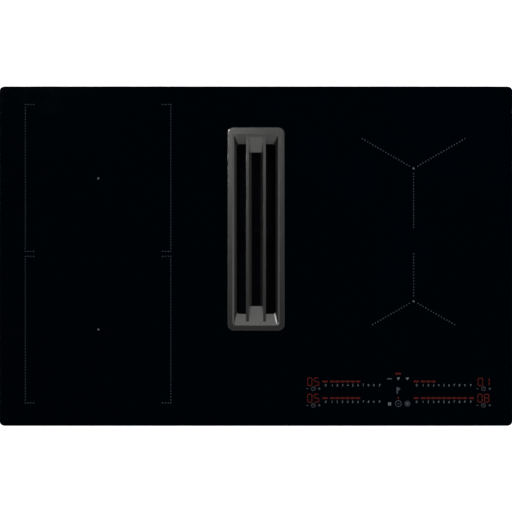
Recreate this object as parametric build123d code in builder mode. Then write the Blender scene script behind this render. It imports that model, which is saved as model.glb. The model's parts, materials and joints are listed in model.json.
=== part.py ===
from build123d import *
import math
import os

# Downdraft induction cooktop: a flush black glass hob with a central air inlet,
# a filter well, and a fan unit below.
# Frame: +X right, +Y to the rear, +Z up. Origin on the worktop surface, in the
# middle of the glass. Millimetres.

# ------------------------------------------------------------------ dimensions
GLASS_X, GLASS_Y, GLASS_T, GLASS_R = 780.0, 516.0, 4.0, 8.0
SEAL_T = 2.0                      # foam seal between worktop and glass
Z_GLASS = SEAL_T                  # underside of the glass
Z_TOP = Z_GLASS + GLASS_T         # top of the glass

WELL_Y = 41.2                     # middle of the air inlet, behind the glass middle
OPEN_X, OPEN_Y, OPEN_R = 75.0, 297.0, 6.0   # opening in the glass

# grille
GRILLE_X, GRILLE_Y, GRILLE_R = 87.0, 309.0, 10.0
PAD_T = 0.6
Z_RIM = Z_TOP + PAD_T             # underside of the grille rim
Z_GRILLE = 12.0                   # top of the grille
Z_SKIRT = -18.0                   # lowest edge of the grille
SKIRT_X, SKIRT_Y = 73.0, 295.0
SLOT_REAR, SLOT_FRONT = 184.9, -105.2       # ends of the pocket at the top
Z_BLADE = 8.0                               # the blades lie lower than the rim
RAMP = math.tan(math.radians(35.0))         # slope of the front ramp and both middle ramps
RAMP_BACK = math.tan(math.radians(44.0))    # slope of the rear end
RAMP_FRONT = SLOT_FRONT + Z_GRILLE / RAMP   # where the front ramp reaches z = 0
REAR_FOOT = SLOT_REAR - (Z_GRILLE + 2.0) / RAMP_BACK    # and the rear end z = -2
# pocket sections: height, half width, front end, rear end, corner radius
POCKET = [(Z_GRILLE, 35.9, SLOT_FRONT, SLOT_REAR, 4.6),
          (10.5, 33.4, SLOT_FRONT + 1.5 / RAMP, SLOT_REAR - 1.5 / RAMP_BACK, 4.4),
          (0.0, 31.4, RAMP_FRONT, SLOT_REAR - Z_GRILLE / RAMP_BACK, 6.0),
          (-2.0, 31.2, RAMP_FRONT, REAR_FOOT, 6.0),
          (Z_SKIRT, 29.3, RAMP_FRONT, REAR_FOOT, 6.0)]
BLADE_IN, BLADE_OUT, BLADE_IN_LOW = 10.9, 15.1, 6.6
BLADE_Y0, BLADE_Y1 = -101.5, 183.0
# in the middle slot the ramps run further down
MID_FRONT, MID_REAR = -76.3, 157.9
MID_TOP = SLOT_REAR - (Z_GRILLE - Z_BLADE) / RAMP_BACK
FRONT_RAMP = [(RAMP_FRONT, 0.0), (MID_FRONT, (RAMP_FRONT - MID_FRONT) * RAMP), (MID_FRONT, Z_SKIRT),
              (RAMP_FRONT - 2.0, Z_SKIRT), (RAMP_FRONT - 2.0, 0.0)]
REAR_RAMP = [(MID_TOP, Z_BLADE), (MID_REAR, Z_BLADE - (MID_TOP - MID_REAR) * RAMP), (MID_REAR, Z_SKIRT),
             (REAR_FOOT + 2.0, Z_SKIRT), (MID_TOP + 1.6, Z_BLADE)]

# well
THROAT_X, THROAT_Y = 77.0, 299.0            # clear inside
THROAT_WALL = 2.0
Z_COLLAR = -63.0
Z_LEDGE = -142.0                            # underside of the tray ledges
TRAY_X, TRAY_Y = 70.0, 290.0
Z_TRAY_RIM, Z_TRAY_BOT = -138.0, -170.0
FILTER_X, FILTER_Y = 70.0, 290.0
Z_FILTER_BOT, Z_FILTER_TOP = Z_TRAY_RIM, -60.0
MESH_T = 4.0

# casing
CASE_X, CASE_Y, CASE_R, SHEET = 740.0, 480.0, 8.0, 1.0
Z_CASE_TOP, Z_CASE_BOT = 0.5, -58.0
Z_FLOOR = Z_CASE_BOT + SHEET
FLANGE = 10.0

# coils: name, x, y, kind, outer half size
COILS = [
    ("rear_left", -240.0, 118.2, "square", 100.0),
    ("front_left", -240.0, -111.7, "square", 100.0),
    ("rear_right", 239.9, 133.4, "round", 90.0),
    ("front_right", 239.9, -68.8, "round", 72.5),
]
MICA_T = 0.8
Z_WIND_TOP, WIND_T, WIND_IN = Z_GLASS - MICA_T, 4.5, 19.0
Z_WIND_BOT = Z_WIND_TOP - WIND_T
FORMER_T = 3.0
Z_FORMER_BOT = Z_WIND_BOT - FORMER_T
FERRITE_T, FERRITE_W = 5.0, 14.0
Z_PLATE_TOP, PLATE_T = -22.5, 1.5
SPRING_ANGLES = (90.0, 210.0, 330.0)

# boards and cooling fans
Z_BOARD, BOARD_T = -50.0, 1.6
BOARD_L = (-215.0, 40.0, 220.0, 300.0)      # x, y, width, depth
BOARD_R = (215.0, 90.0, 220.0, 200.0)
FAN_L = (-215.0, -172.0)
FAN_R = (215.0, -76.0)
FAN_SIZE, Z_FAN_BOT, Z_FAN_TOP = 92.0, -56.0, -30.0
FAN_BORE, FAN_ROTOR = 42.0, 38.5

# display
DISP_X0, DISP_X1, DISP_Y0, DISP_Y1 = 66.0, 358.0, -228.5, -167.5

# lower fan unit
TUB_X0, TUB_X1, TUB_Y0, TUB_Y1 = -97.0, 330.0, -138.0, 207.0
TUB_WALL, TUB_R = 2.5, 14.0
Z_TUB_BOT, Z_TUB_TOP = -212.0, -61.0
RIM_W, RIM_T = 10.0, 3.0
LID_T = 3.0
FAN_X, FAN_Y = 164.0, 4.0                   # impeller axis
Z_VOL_BOT, Z_VOL_TOP, VOL_WALL = -192.5, -103.5, 2.5
TONGUE_DEG, SPIRAL_R0, SPIRAL_R1 = 70.0, 96.0, 145.5
DUCT_X, DUCT_W, DUCT_H = 201.0, 222.0, 89.0  # flat duct outlet
DUCT_Y0, DUCT_Y1 = 158.0, 242.0
DUCT_Z = (Z_VOL_BOT + Z_VOL_TOP) / 2
IMP_R, IMP_IN, CUP_R = 88.0, 73.0, 51.0
MOTOR_R, SHAFT_R = 46.0, 4.0
BEAR_R, BEAR_T, BEAR_BORE = 11.0, 7.0, 4.05
FLAP_Y, FLAP_Z = 162.0, -110.0
FLAP_PIN_R, FLAP_LEN = 1.5, 77.0

# fasteners: M4 pan heads
SCREW_R, HEAD_R, HEAD_T = 2.0, 3.8, 2.4

# terminal box and fan control box, both under the casing floor
TBOX = (-285.0, 189.0, 110.0, 78.0)
Z_TBOX_BOT = -92.0
HINGE_Y, HINGE_Z, HINGE_R, LUG_R = 145.5, -92.0, 2.5, 4.4
CBOX = (-230.0, -118.0, 190.0, 100.0)
Z_CBOX_BOT = -96.0

CLIP_Y = (-150.0, 150.0)
CLIP_SCREW_DY = 12.0
RIM_SCREWS = [(-102.0, -100.0), (-102.0, 40.0), (-102.0, 180.0),
              (335.0, -100.0), (335.0, 40.0), (335.0, 180.0),
              (116.0, -143.0), (116.0, 212.0)]
BOX_SCREWS = [(-335.0, -118.0), (-125.0, -118.0), (-350.0, 189.0), (-220.0, 189.0)]
MOTOR_SCREW_R = 52.0
DUCT_SCREWS = [(DUCT_X - 80, DUCT_Z + 50), (DUCT_X + 80, DUCT_Z + 50),
               (DUCT_X - 80, DUCT_Z - 50), (DUCT_X + 80, DUCT_Z - 50)]



def spiral(theta_deg, grow):
    """Point of the scroll wall at an angle about the impeller axis."""
    t = (theta_deg - TONGUE_DEG) / (360.0 - TONGUE_DEG)
    r = SPIRAL_R0 + (SPIRAL_R1 - SPIRAL_R0) * t + grow
    return (FAN_X + r * math.cos(math.radians(theta_deg)),
            FAN_Y + r * math.sin(math.radians(theta_deg)))


SPIRAL_STEPS = [TONGUE_DEG + (360.0 - TONGUE_DEG) * k / 14 for k in range(15)]
# screw ears stand just outside the scroll wall
EARS = [spiral(a, VOL_WALL + 4.5) for a in (135.0, 225.0, 315.0)]

# ------------------------------------------------------------------ glass group
with BuildPart() as glass_panel:
    with BuildSketch(Plane.XY.offset(Z_GLASS)):
        RectangleRounded(GLASS_X, GLASS_Y, GLASS_R)
        with Locations((0, WELL_Y)):
            RectangleRounded(OPEN_X, OPEN_Y, OPEN_R, mode=Mode.SUBTRACT)
    extrude(amount=GLASS_T)
    chamfer(glass_panel.edges().group_by(Axis.Z)[-1], 0.8)
glass_panel.part.label = "glass_panel"
export_step(glass_panel.part, "parts/glass_panel.step")

# foam tape between the worktop and the glass edge
with BuildPart() as rim_seal:
    with BuildSketch(Plane.XY):
        RectangleRounded(GLASS_X - 4, GLASS_Y - 4, GLASS_R - 2)
        RectangleRounded(GLASS_X - 24, GLASS_Y - 24, 4, mode=Mode.SUBTRACT)
    extrude(amount=SEAL_T)
rim_seal.part.label = "rim_seal"
export_step(rim_seal.part, "parts/rim_seal.step")

# silicone bead that bonds the casing flange to the glass
with BuildPart() as glass_bond:
    with BuildSketch(Plane.XY.offset(Z_CASE_TOP)):
        RectangleRounded(CASE_X - 3, CASE_Y - 3, CASE_R - 2)
        RectangleRounded(CASE_X - 17, CASE_Y - 17, 3, mode=Mode.SUBTRACT)
    extrude(amount=Z_GLASS - Z_CASE_TOP)
glass_bond.part.label = "glass_bond"
export_step(glass_bond.part, "parts/glass_bond.step")

# ------------------------------------------------------------------ grille
# one cast piece: rim, skirt, one tapered pocket, two blades across it
with BuildPart() as grille:
    with BuildSketch(Plane.XY.offset(Z_RIM)):
        with Locations((0, WELL_Y)):
            RectangleRounded(GRILLE_X, GRILLE_Y, GRILLE_R)
    extrude(amount=Z_GRILLE - Z_RIM, taper=8)
    fillet(grille.edges().group_by(Axis.Z)[-1], 0.5)
    with BuildSketch(Plane.XY.offset(Z_SKIRT)):
        with Locations((0, WELL_Y)):
            RectangleRounded(SKIRT_X, SKIRT_Y, 5.0)
    extrude(amount=Z_RIM - Z_SKIRT + 1.0)
    # the pocket's ends are ramps, shallow at the lip and steeper below
    for pz, hx, py0, py1, pr in POCKET:
        with BuildSketch(Plane.XY.offset(pz)):
            with Locations((0, (py0 + py1) / 2)):
                RectangleRounded(2 * hx, py1 - py0, pr)
    loft(ruled=True, mode=Mode.SUBTRACT)
    top_face = grille.faces().filter_by(Axis.Z).sort_by(Axis.Z)[-1]
    fillet([e for w in top_face.inner_wires() for e in w.edges()], 0.45)
    # blades: outer faces upright, inner faces drafted
    for sx in (-1, 1):
        with BuildSketch(Plane.XZ.offset(-BLADE_Y0)) as blade_section:
            with BuildLine():
                Polyline((sx * BLADE_IN, Z_BLADE), (sx * BLADE_OUT, Z_BLADE),
                         (sx * BLADE_OUT, Z_SKIRT), (sx * BLADE_IN_LOW, Z_SKIRT), close=True)
            make_face()
            fillet(blade_section.vertices().group_by(Axis.Y)[-1], 0.35)
        extrude(amount=-(BLADE_Y1 - BLADE_Y0))
    # longer ramps at both ends of the middle slot
    for ramp in (FRONT_RAMP, REAR_RAMP):
        with BuildSketch(Plane.YZ.offset(-12.5)):
            with BuildLine():
                Polyline(*ramp, close=True)
            make_face()
        extrude(amount=25.0)
grille.part.label = "grille"
export_step(grille.part, "parts/grille.step")

# six silicone pads under the grille rim
with BuildPart() as grille_pads:
    with BuildSketch(Plane.XY.offset(Z_TOP)):
        with Locations(*[(sx * 40.4, WELL_Y + dy) for sx in (-1, 1) for dy in (-125, 0, 125)]):
            SlotOverall(14, 4.0, rotation=90)
    extrude(amount=PAD_T)
grille_pads.part.label = "grille_pads"
export_step(grille_pads.part, "parts/grille_pads.step")

# ------------------------------------------------------------------ well
with BuildPart() as throat_gasket:
    with BuildSketch(Plane.XY.offset(0.8)):
        with Locations((0, WELL_Y)):
            RectangleRounded(THROAT_X + 20, THROAT_Y + 20, 12)
            RectangleRounded(THROAT_X, THROAT_Y, 7, mode=Mode.SUBTRACT)
    extrude(amount=Z_GLASS - 0.8)
throat_gasket.part.label = "throat_gasket"
export_step(throat_gasket.part, "parts/throat_gasket.step")

with BuildPart() as inlet_throat:
    # flange under the glass
    with BuildSketch(Plane.XY.offset(-1.2)):
        with Locations((0, WELL_Y)):
            RectangleRounded(THROAT_X + 22, THROAT_Y + 22, 13)
            RectangleRounded(THROAT_X, THROAT_Y, 7, mode=Mode.SUBTRACT)
    extrude(amount=2.0)
    # collar through the casing
    with BuildSketch(Plane.XY.offset(Z_COLLAR)):
        with Locations((0, WELL_Y)):
            RectangleRounded(THROAT_X + 2 * THROAT_WALL, THROAT_Y + 2 * THROAT_WALL, 9)
            RectangleRounded(THROAT_X, THROAT_Y, 7, mode=Mode.SUBTRACT)
    extrude(amount=-1.2 - Z_COLLAR)
    # end walls that reach down to the tray
    with BuildSketch(Plane.XY.offset(Z_LEDGE)):
        with Locations((0, WELL_Y + THROAT_Y / 2 + THROAT_WALL / 2),
                       (0, WELL_Y - THROAT_Y / 2 - THROAT_WALL / 2)):
            Rectangle(60, THROAT_WALL)
        with Locations((-30, WELL_Y + THROAT_Y / 2 + 1.0), (30, WELL_Y + THROAT_Y / 2 + 1.0),
                       (-30, WELL_Y - THROAT_Y / 2 - 1.0), (30, WELL_Y - THROAT_Y / 2 - 1.0)):
            Rectangle(3, THROAT_WALL)
    extrude(amount=Z_COLLAR - Z_LEDGE)
    # ledges that carry the drip tray
    with BuildSketch(Plane.XY.offset(Z_LEDGE)):
        with Locations((0, WELL_Y + 146.5), (0, WELL_Y - 146.5)):
            Rectangle(60, 7.0)
    extrude(amount=2.0)
inlet_throat.part.label = "inlet_throat"
export_step(inlet_throat.part, "parts/inlet_throat.step")

with BuildPart() as filter_frame:
    with BuildSketch(Plane.XY.offset(Z_FILTER_BOT)):
        with Locations((0, WELL_Y)):
            RectangleRounded(FILTER_X, FILTER_Y, 5)
    extrude(amount=Z_FILTER_TOP - Z_FILTER_BOT)
    fillet(filter_frame.edges().group_by(Axis.Z)[-1], 1.0)
    # hollow
    with BuildSketch(Plane.XY.offset(Z_FILTER_BOT + 3.0)):
        with Locations((0, WELL_Y)):
            RectangleRounded(FILTER_X - 12, FILTER_Y - 8, 2)
    extrude(amount=Z_FILTER_TOP - Z_FILTER_BOT, mode=Mode.SUBTRACT)
    # windows in both long sides, behind them lie the mesh packs
    with BuildSketch(Plane.YZ.offset(-FILTER_X)):
        with Locations(*[(WELL_Y + d, (Z_FILTER_BOT + Z_FILTER_TOP) / 2) for d in (-102, -34, 34, 102)]):
            RectangleRounded(60, 60, 4)
    extrude(amount=2 * FILTER_X, mode=Mode.SUBTRACT)
    # drain holes to the tray
    with BuildSketch(Plane.XY.offset(Z_FILTER_BOT - 1)):
        with Locations((0, WELL_Y)):
            with GridLocations(22, 40, 2, 6):
                SlotOverall(24, 4, rotation=90)
    extrude(amount=5.0, mode=Mode.SUBTRACT)
    # grip arch across the middle
    with BuildSketch(Plane.XZ.offset(-WELL_Y)):
        with Locations((0, Z_FILTER_TOP + 12.0)):
            RectangleRounded(66, 32, 8)
            RectangleRounded(56, 22, 5, mode=Mode.SUBTRACT)
        with Locations((0, Z_FILTER_TOP - 14.0)):
            Rectangle(80, 24, mode=Mode.SUBTRACT)
    extrude(amount=5.0, both=True)
filter_frame.part.label = "filter_frame"
export_step(filter_frame.part, "parts/filter_frame.step")

for side, sx in (("left", -1), ("right", 1)):
    with BuildPart() as filter_mesh:
        with BuildSketch(Plane.XY.offset(Z_FILTER_BOT + 3.5)):
            with Locations((sx * (FILTER_X / 2 - 6.0 - MESH_T / 2), WELL_Y)):
                Rectangle(MESH_T, FILTER_Y - 14)
        extrude(amount=Z_FILTER_TOP - Z_FILTER_BOT - 6.0)
    filter_mesh.part.label = f"filter_mesh_{side}"
    export_step(filter_mesh.part, f"parts/filter_mesh_{side}.step")

with BuildPart() as drip_tray:
    with BuildSketch(Plane.XY.offset(Z_TRAY_BOT)):
        with Locations((0, WELL_Y)):
            RectangleRounded(TRAY_X - 6, TRAY_Y - 9, 6)
    extrude(amount=Z_TRAY_RIM - Z_TRAY_BOT)
    fillet(drip_tray.edges().group_by(Axis.Z)[0], 3.5)
    with BuildSketch(Plane.XY.offset(Z_TRAY_RIM - 2.0)):
        with Locations((0, WELL_Y)):
            RectangleRounded(TRAY_X, TRAY_Y, 6)
    extrude(amount=2.0)
    with BuildSketch(Plane.XY.offset(Z_TRAY_BOT + 2.0)):
        with Locations((0, WELL_Y)):
            RectangleRounded(TRAY_X - 10, TRAY_Y - 13, 4)
    extrude(amount=Z_TRAY_RIM - Z_TRAY_BOT, mode=Mode.SUBTRACT)
drip_tray.part.label = "drip_tray"
export_step(drip_tray.part, "parts/drip_tray.step")

# ------------------------------------------------------------------ casing
with BuildPart() as base_casing:
    with BuildSketch(Plane.XY.offset(Z_CASE_BOT)):
        RectangleRounded(CASE_X, CASE_Y, CASE_R)
    extrude(amount=Z_CASE_TOP - Z_CASE_BOT)
    fillet(base_casing.edges().group_by(Axis.Z)[0], 2.5)
    with BuildSketch(Plane.XY.offset(Z_FLOOR)):
        RectangleRounded(CASE_X - 2 * SHEET, CASE_Y - 2 * SHEET, CASE_R - SHEET)
    extrude(amount=Z_CASE_TOP - SHEET - Z_FLOOR, mode=Mode.SUBTRACT)
    with BuildSketch(Plane.XY.offset(Z_FLOOR)):
        RectangleRounded(CASE_X - 2 * FLANGE, CASE_Y - 2 * FLANGE, CASE_R - 3)
    extrude(amount=Z_CASE_TOP - Z_FLOOR, mode=Mode.SUBTRACT)
    # opening for the inlet throat
    with BuildSketch(Plane.XY.offset(Z_CASE_BOT)):
        with Locations((0, WELL_Y)):
            RectangleRounded(THROAT_X + 6, THROAT_Y + 6, 10)
    extrude(amount=SHEET, mode=Mode.SUBTRACT)
    # air intakes under the two cooling fans
    with BuildSketch(Plane.XY.offset(Z_CASE_BOT)):
        for fx, fy in (FAN_L, FAN_R):
            for r, n in ((24.0, 12), (14.0, 8)):
                for k in range(n):
                    a = 360.0 * k / n
                    with Locations((fx + r * math.cos(math.radians(a)), fy + r * math.sin(math.radians(a)))):
                        SlotOverall(8.0, 3.0, rotation=a)
    extrude(amount=SHEET, mode=Mode.SUBTRACT)
    # cable passages to the two boxes below
    with BuildSketch(Plane.XY.offset(Z_CASE_BOT)):
        with Locations((TBOX[0] + 25, TBOX[1] + 18), (CBOX[0] + 60, CBOX[1] + 25)):
            SlotOverall(26, 12)
    extrude(amount=SHEET, mode=Mode.SUBTRACT)
    # screw holes in the floor
    with BuildSketch(Plane.XY.offset(Z_CASE_BOT)):
        with Locations(*RIM_SCREWS, *BOX_SCREWS):
            Circle(SCREW_R)
    extrude(amount=SHEET, mode=Mode.SUBTRACT)
    # cooling air leaves through louvres in the left, right and front walls
    with BuildSketch(Plane.YZ.offset(-CASE_X / 2 - 1)):
        with Locations(*[(y0 + 9.0 * k, -34.0) for y0 in (-58.0, 22.0) for k in range(5)]):
            SlotOverall(24, 3.5, rotation=90)
    extrude(amount=CASE_X + 2, mode=Mode.SUBTRACT)
    with BuildSketch(Plane.XZ.offset(CASE_Y / 2 - SHEET - 1)):
        with Locations(*[(x0 + 9.0 * k, -34.0) for x0 in (-300.0, -180.0, 150.0, 270.0) for k in range(8)]):
            SlotOverall(24, 3.5, rotation=90)
    extrude(amount=SHEET + 2, mode=Mode.SUBTRACT)
    # screw holes for the spring clips in both side walls
    with BuildSketch(Plane.YZ.offset(-CASE_X / 2 - 1)):
        with Locations(*[(y + s * CLIP_SCREW_DY, -9.0) for y in CLIP_Y for s in (-1, 1)]):
            Circle(SCREW_R)
    extrude(amount=CASE_X + 2, mode=Mode.SUBTRACT)
    # standoffs under the power boards
    with BuildSketch(Plane.XY.offset(Z_FLOOR)):
        for bx, by, bw, bd in (BOARD_L, BOARD_R):
            with Locations((bx, by)):
                with GridLocations(bw - 14, bd - 14, 2, 2):
                    Circle(3.5)
    extrude(amount=Z_BOARD - Z_FLOOR)
base_casing.part.label = "base_casing"
export_step(base_casing.part, "parts/base_casing.step")

# leaf springs that grip the walls of the worktop cut-out
CLIP_PROFILE = [(370.0, -2.0), (370.9, -2.0), (370.9, -15.5), (374.6, -26.0), (374.4, -29.5),
                (371.6, -42.0), (370.7, -42.0), (373.3, -29.6), (373.5, -26.4), (370.0, -16.2)]
with BuildPart() as spring_clips:
    for cy in CLIP_Y:
        with BuildSketch(Plane.XZ.offset(-cy)):
            with BuildLine():
                Polyline(*CLIP_PROFILE, close=True)
            make_face()
        extrude(amount=19.0, both=True)
    with BuildSketch(Plane.YZ.offset(369.0)):
        with Locations(*[(y + s * CLIP_SCREW_DY, -9.0) for y in CLIP_Y for s in (-1, 1)]):
            Circle(SCREW_R)
    extrude(amount=4.0, mode=Mode.SUBTRACT)
    mirror(about=Plane.YZ)
spring_clips.part.label = "spring_clips"
export_step(spring_clips.part, "parts/spring_clips.step")

# ------------------------------------------------------------------ coils
with BuildPart() as mica_sheets:
    for x0, x1, y0, y1 in ((-354.0, -126.0, -226.0, 228.0), (138.0, 342.0, -154.0, 228.0)):
        with BuildSketch(Plane.XY.offset(Z_WIND_TOP)):
            with Locations(((x0 + x1) / 2, (y0 + y1) / 2)):
                RectangleRounded(x1 - x0, y1 - y0, 10)
        extrude(amount=MICA_T)
mica_sheets.part.label = "mica_sheets"
export_step(mica_sheets.part, "parts/mica_sheets.step")

for name, cx, cy, kind, half in COILS:
    with BuildPart() as winding:
        with BuildSketch(Plane.XY.offset(Z_WIND_BOT)):
            with Locations((cx, cy)):
                if kind == "round":
                    Circle(half)
                else:
                    RectangleRounded(2 * half, 2 * half, 62)
                Circle(WIND_IN, mode=Mode.SUBTRACT)
        extrude(amount=WIND_T)
    winding.part.label = f"coil_winding_{name}"
    export_step(winding.part, f"parts/coil_winding_{name}.step")

    with BuildPart() as former:
        with BuildSketch(Plane.XY.offset(Z_FORMER_BOT)):
            with Locations((cx, cy)):
                if kind == "round":
                    Circle(half + 2)
                    Circle(half - 12, mode=Mode.SUBTRACT)
                else:
                    RectangleRounded(2 * half + 4, 2 * half + 4, 64)
                    RectangleRounded(2 * half - 24, 2 * half - 24, 50, mode=Mode.SUBTRACT)
                Circle(27)
            with Locations((cx, cy)):
                with PolarLocations(0, 8, start_angle=22.5):
                    with Locations((half / 2, 0)):
                        Rectangle(half - 6, 18)
        extrude(amount=FORMER_T)
        # seat for the temperature sensor
        with BuildSketch(Plane.XY.offset(Z_FORMER_BOT)):
            with Locations((cx, cy)):
                Circle(6.2)
        extrude(amount=FORMER_T, mode=Mode.SUBTRACT)
        with BuildSketch(Plane.XY.offset(Z_FORMER_BOT + 1.2)):
            with Locations((cx, cy)):
                Circle(9.0)
        extrude(amount=FORMER_T, mode=Mode.SUBTRACT)
    former.part.label = f"coil_former_{name}"
    export_step(former.part, f"parts/coil_former_{name}.step")

with BuildPart() as ferrite_bars:
    with BuildSketch(Plane.XY.offset(Z_FORMER_BOT - FERRITE_T)):
        for name, cx, cy, kind, half in COILS:
            with Locations((cx, cy)):
                with PolarLocations(0, 8, start_angle=22.5):
                    with Locations(((half - 16 + 28) / 2, 0)):
                        Rectangle(half - 16 - 28, FERRITE_W if half > 80 else 11.0)
    extrude(amount=FERRITE_T)
ferrite_bars.part.label = "ferrite_bars"
export_step(ferrite_bars.part, "parts/ferrite_bars.step")

with BuildPart() as coil_sensors:
    with BuildSketch(Plane.XY.offset(-15.0)):
        with Locations(*[(c[1], c[2]) for c in COILS]):
            Circle(6.0)
    extrude(amount=15.0 + Z_WIND_TOP - 1.0)
    with BuildSketch(Plane.XY.offset(Z_FORMER_BOT + 1.2)):
        with Locations(*[(c[1], c[2]) for c in COILS]):
            Circle(8.5)
    extrude(amount=Z_WIND_TOP - Z_FORMER_BOT - 1.2)
    fillet(coil_sensors.edges().group_by(Axis.Z)[-1], 1.0)
coil_sensors.part.label = "coil_sensors"
export_step(coil_sensors.part, "parts/coil_sensors.step")

# one helical pressing spring, then three under each coil
with BuildPart() as one_spring:
    with BuildLine() as spring_path:
        Helix(pitch=4.3, height=Z_FORMER_BOT - Z_PLATE_TOP - 1.0, radius=4.0)
    with BuildSketch(Plane(origin=spring_path.line @ 0, z_dir=spring_path.line % 0)):
        Circle(0.45)
    sweep(is_frenet=True)
spring_spots = []
for name, cx, cy, kind, half in COILS:
    for a in SPRING_ANGLES:
        rr = half - 6.0
        spring_spots.append((cx + rr * math.cos(math.radians(a)), cy + rr * math.sin(math.radians(a)),
                             Z_PLATE_TOP + 0.5))
with BuildPart() as coil_springs:
    with Locations(*spring_spots):
        add(one_spring.part)
coil_springs.part.label = "coil_springs"
export_step(coil_springs.part, "parts/coil_springs.step")

with BuildPart() as coil_plates:
    for x0, x1, y0, y1 in ((-358.0, -58.0, -228.0, 233.0), (58.0, 358.0, -162.0, 233.0)):
        with BuildSketch(Plane.XY.offset(Z_PLATE_TOP - PLATE_T)):
            with Locations(((x0 + x1) / 2, (y0 + y1) / 2)):
                Rectangle(x1 - x0, y1 - y0)
        extrude(amount=PLATE_T)
        # folded legs down to the casing floor
        with BuildSketch(Plane.XY.offset(Z_FLOOR)):
            for lx in (x0 + PLATE_T / 2, x1 - PLATE_T / 2):
                with Locations(*[(lx, (y0 + y1) / 2 + d) for d in (-170.0, 0.0, 170.0)]):
                    Rectangle(PLATE_T, 34)
        extrude(amount=Z_PLATE_TOP - PLATE_T - Z_FLOOR)
        # lightening holes
        with BuildSketch(Plane.XY.offset(Z_PLATE_TOP - PLATE_T)):
            with Locations(*[((x0 + x1) / 2 + dx, (y0 + y1) / 2) for dx in (-118, 118)]):
                SlotOverall(70, 16, rotation=90)
        extrude(amount=PLATE_T, mode=Mode.SUBTRACT)
coil_plates.part.label = "coil_plates"
export_step(coil_plates.part, "parts/coil_plates.step")

# ------------------------------------------------------------------ electronics
for side, (bx, by, bw, bd) in (("left", BOARD_L), ("right", BOARD_R)):
    with BuildPart() as power_board:
        with BuildSketch(Plane.XY.offset(Z_BOARD)):
            with Locations((bx, by)):
                RectangleRounded(bw, bd, 3)
        extrude(amount=BOARD_T)
    power_board.part.label = f"power_board_{side}"
    export_step(power_board.part, f"parts/power_board_{side}.step")

    # extruded heat sink with nine fins
    with BuildPart() as heatsink:
        with BuildSketch(Plane.XZ.offset(-(by + bd / 2 - 10))):
            with Locations((bx, Z_BOARD + BOARD_T + 1.75)):
                Rectangle(66, 3.5)
            with Locations(*[(bx + 8.0 * k, Z_BOARD + BOARD_T + 10.5) for k in range(-4, 5)]):
                Rectangle(1.8, 21.0)
        extrude(amount=bd - 40)
    heatsink.part.label = f"heatsink_{side}"
    export_step(heatsink.part, f"parts/heatsink_{side}.step")

    # capacitors, chokes, relays and connectors
    with BuildPart() as board_parts:
        zc = Z_BOARD + BOARD_T
        with BuildSketch(Plane.XY.offset(zc)):
            with Locations(*[(bx - 84, by + d) for d in (-bd / 2 + 40, 0, bd / 2 - 40)]):
                RectangleRounded(18, 32, 1.5)
            with Locations(*[(bx + 62, by + d) for d in (-bd / 2 + 44, bd / 2 - 44)]):
                RectangleRounded(22, 30, 1.5)
        extrude(amount=20)
        with BuildSketch(Plane.XY.offset(zc)):
            with Locations((bx - 58, by + bd / 2 - 40), (bx - 58, by - bd / 2 + 40), (bx + 90, by)):
                Circle(12)
        extrude(amount=21)
        with BuildSketch(Plane.XY.offset(zc)):
            with Locations((bx + 90, by + 44), (bx + 90, by - 44)):
                Rectangle(16, 28)
        extrude(amount=15)
        with BuildSketch(Plane.XY.offset(zc)):
            with Locations(*[(bx - 56 + 8 * k, by - bd / 2 + 12) for k in (0, 3)]):
                Rectangle(20, 8)
        extrude(amount=9)
    board_parts.part.label = f"board_parts_{side}"
    export_step(board_parts.part, f"parts/board_parts_{side}.step")

for side, (fx, fy) in (("left", FAN_L), ("right", FAN_R)):
    # radial cooling fan: scroll box, intake below, outlet to the rear
    with BuildPart() as cooling_fan:
        with BuildSketch(Plane.XY.offset(Z_FAN_BOT)):
            with Locations((fx, fy)):
                RectangleRounded(FAN_SIZE, FAN_SIZE, 8)
        extrude(amount=Z_FAN_TOP - Z_FAN_BOT)
        with BuildSketch(Plane.XY.offset(Z_FAN_BOT + 1.5)):
            with Locations((fx, fy)):
                Circle(FAN_BORE)
            with Locations((fx + 12, fy + FAN_SIZE / 4 + 1)):
                Rectangle(60, FAN_SIZE / 2 + 2)
        extrude(amount=Z_FAN_TOP - Z_FAN_BOT - 3.0, mode=Mode.SUBTRACT)
        with BuildSketch(Plane.XY.offset(Z_FAN_BOT)):
            with Locations((fx, fy)):
                Circle(29)
                Circle(9, mode=Mode.SUBTRACT)
                Rectangle(60, 3, mode=Mode.SUBTRACT)
                Rectangle(3, 60, mode=Mode.SUBTRACT)
        extrude(amount=1.5, mode=Mode.SUBTRACT)
        with BuildSketch(Plane.XY.offset(Z_FAN_BOT + 1.5)):
            with Locations((fx, fy)):
                Circle(1.5)
        extrude(amount=Z_FAN_TOP - Z_FAN_BOT - 3.0)
    cooling_fan.part.label = f"cooling_fan_{side}"
    export_step(cooling_fan.part, f"parts/cooling_fan_{side}.step")

    with BuildPart() as cooling_rotor:
        with BuildSketch(Plane.XY.offset(Z_FAN_TOP - 5.5)):
            with Locations((fx, fy)):
                Circle(FAN_ROTOR)
        extrude(amount=1.5)
        with BuildSketch(Plane.XY.offset(Z_FAN_BOT + 5.0)):
            with Locations((fx, fy)):
                Circle(14)
        extrude(amount=Z_FAN_TOP - Z_FAN_BOT - 10.5)
        with BuildSketch(Plane.XY.offset(Z_FAN_BOT + 3.5)):
            with Locations((fx, fy)):
                with PolarLocations(33.5, 24):
                    Rectangle(9.0, 1.2, rotation=38)
        extrude(amount=Z_FAN_TOP - Z_FAN_BOT - 9.0)
        with BuildSketch(Plane.XY.offset(Z_FAN_BOT)):
            with Locations((fx, fy)):
                Circle(1.55)
        extrude(amount=Z_FAN_TOP - Z_FAN_BOT, mode=Mode.SUBTRACT)
    cooling_rotor.part.label = f"cooling_rotor_{side}"
    export_step(cooling_rotor.part, f"parts/cooling_rotor_{side}.step")

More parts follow.
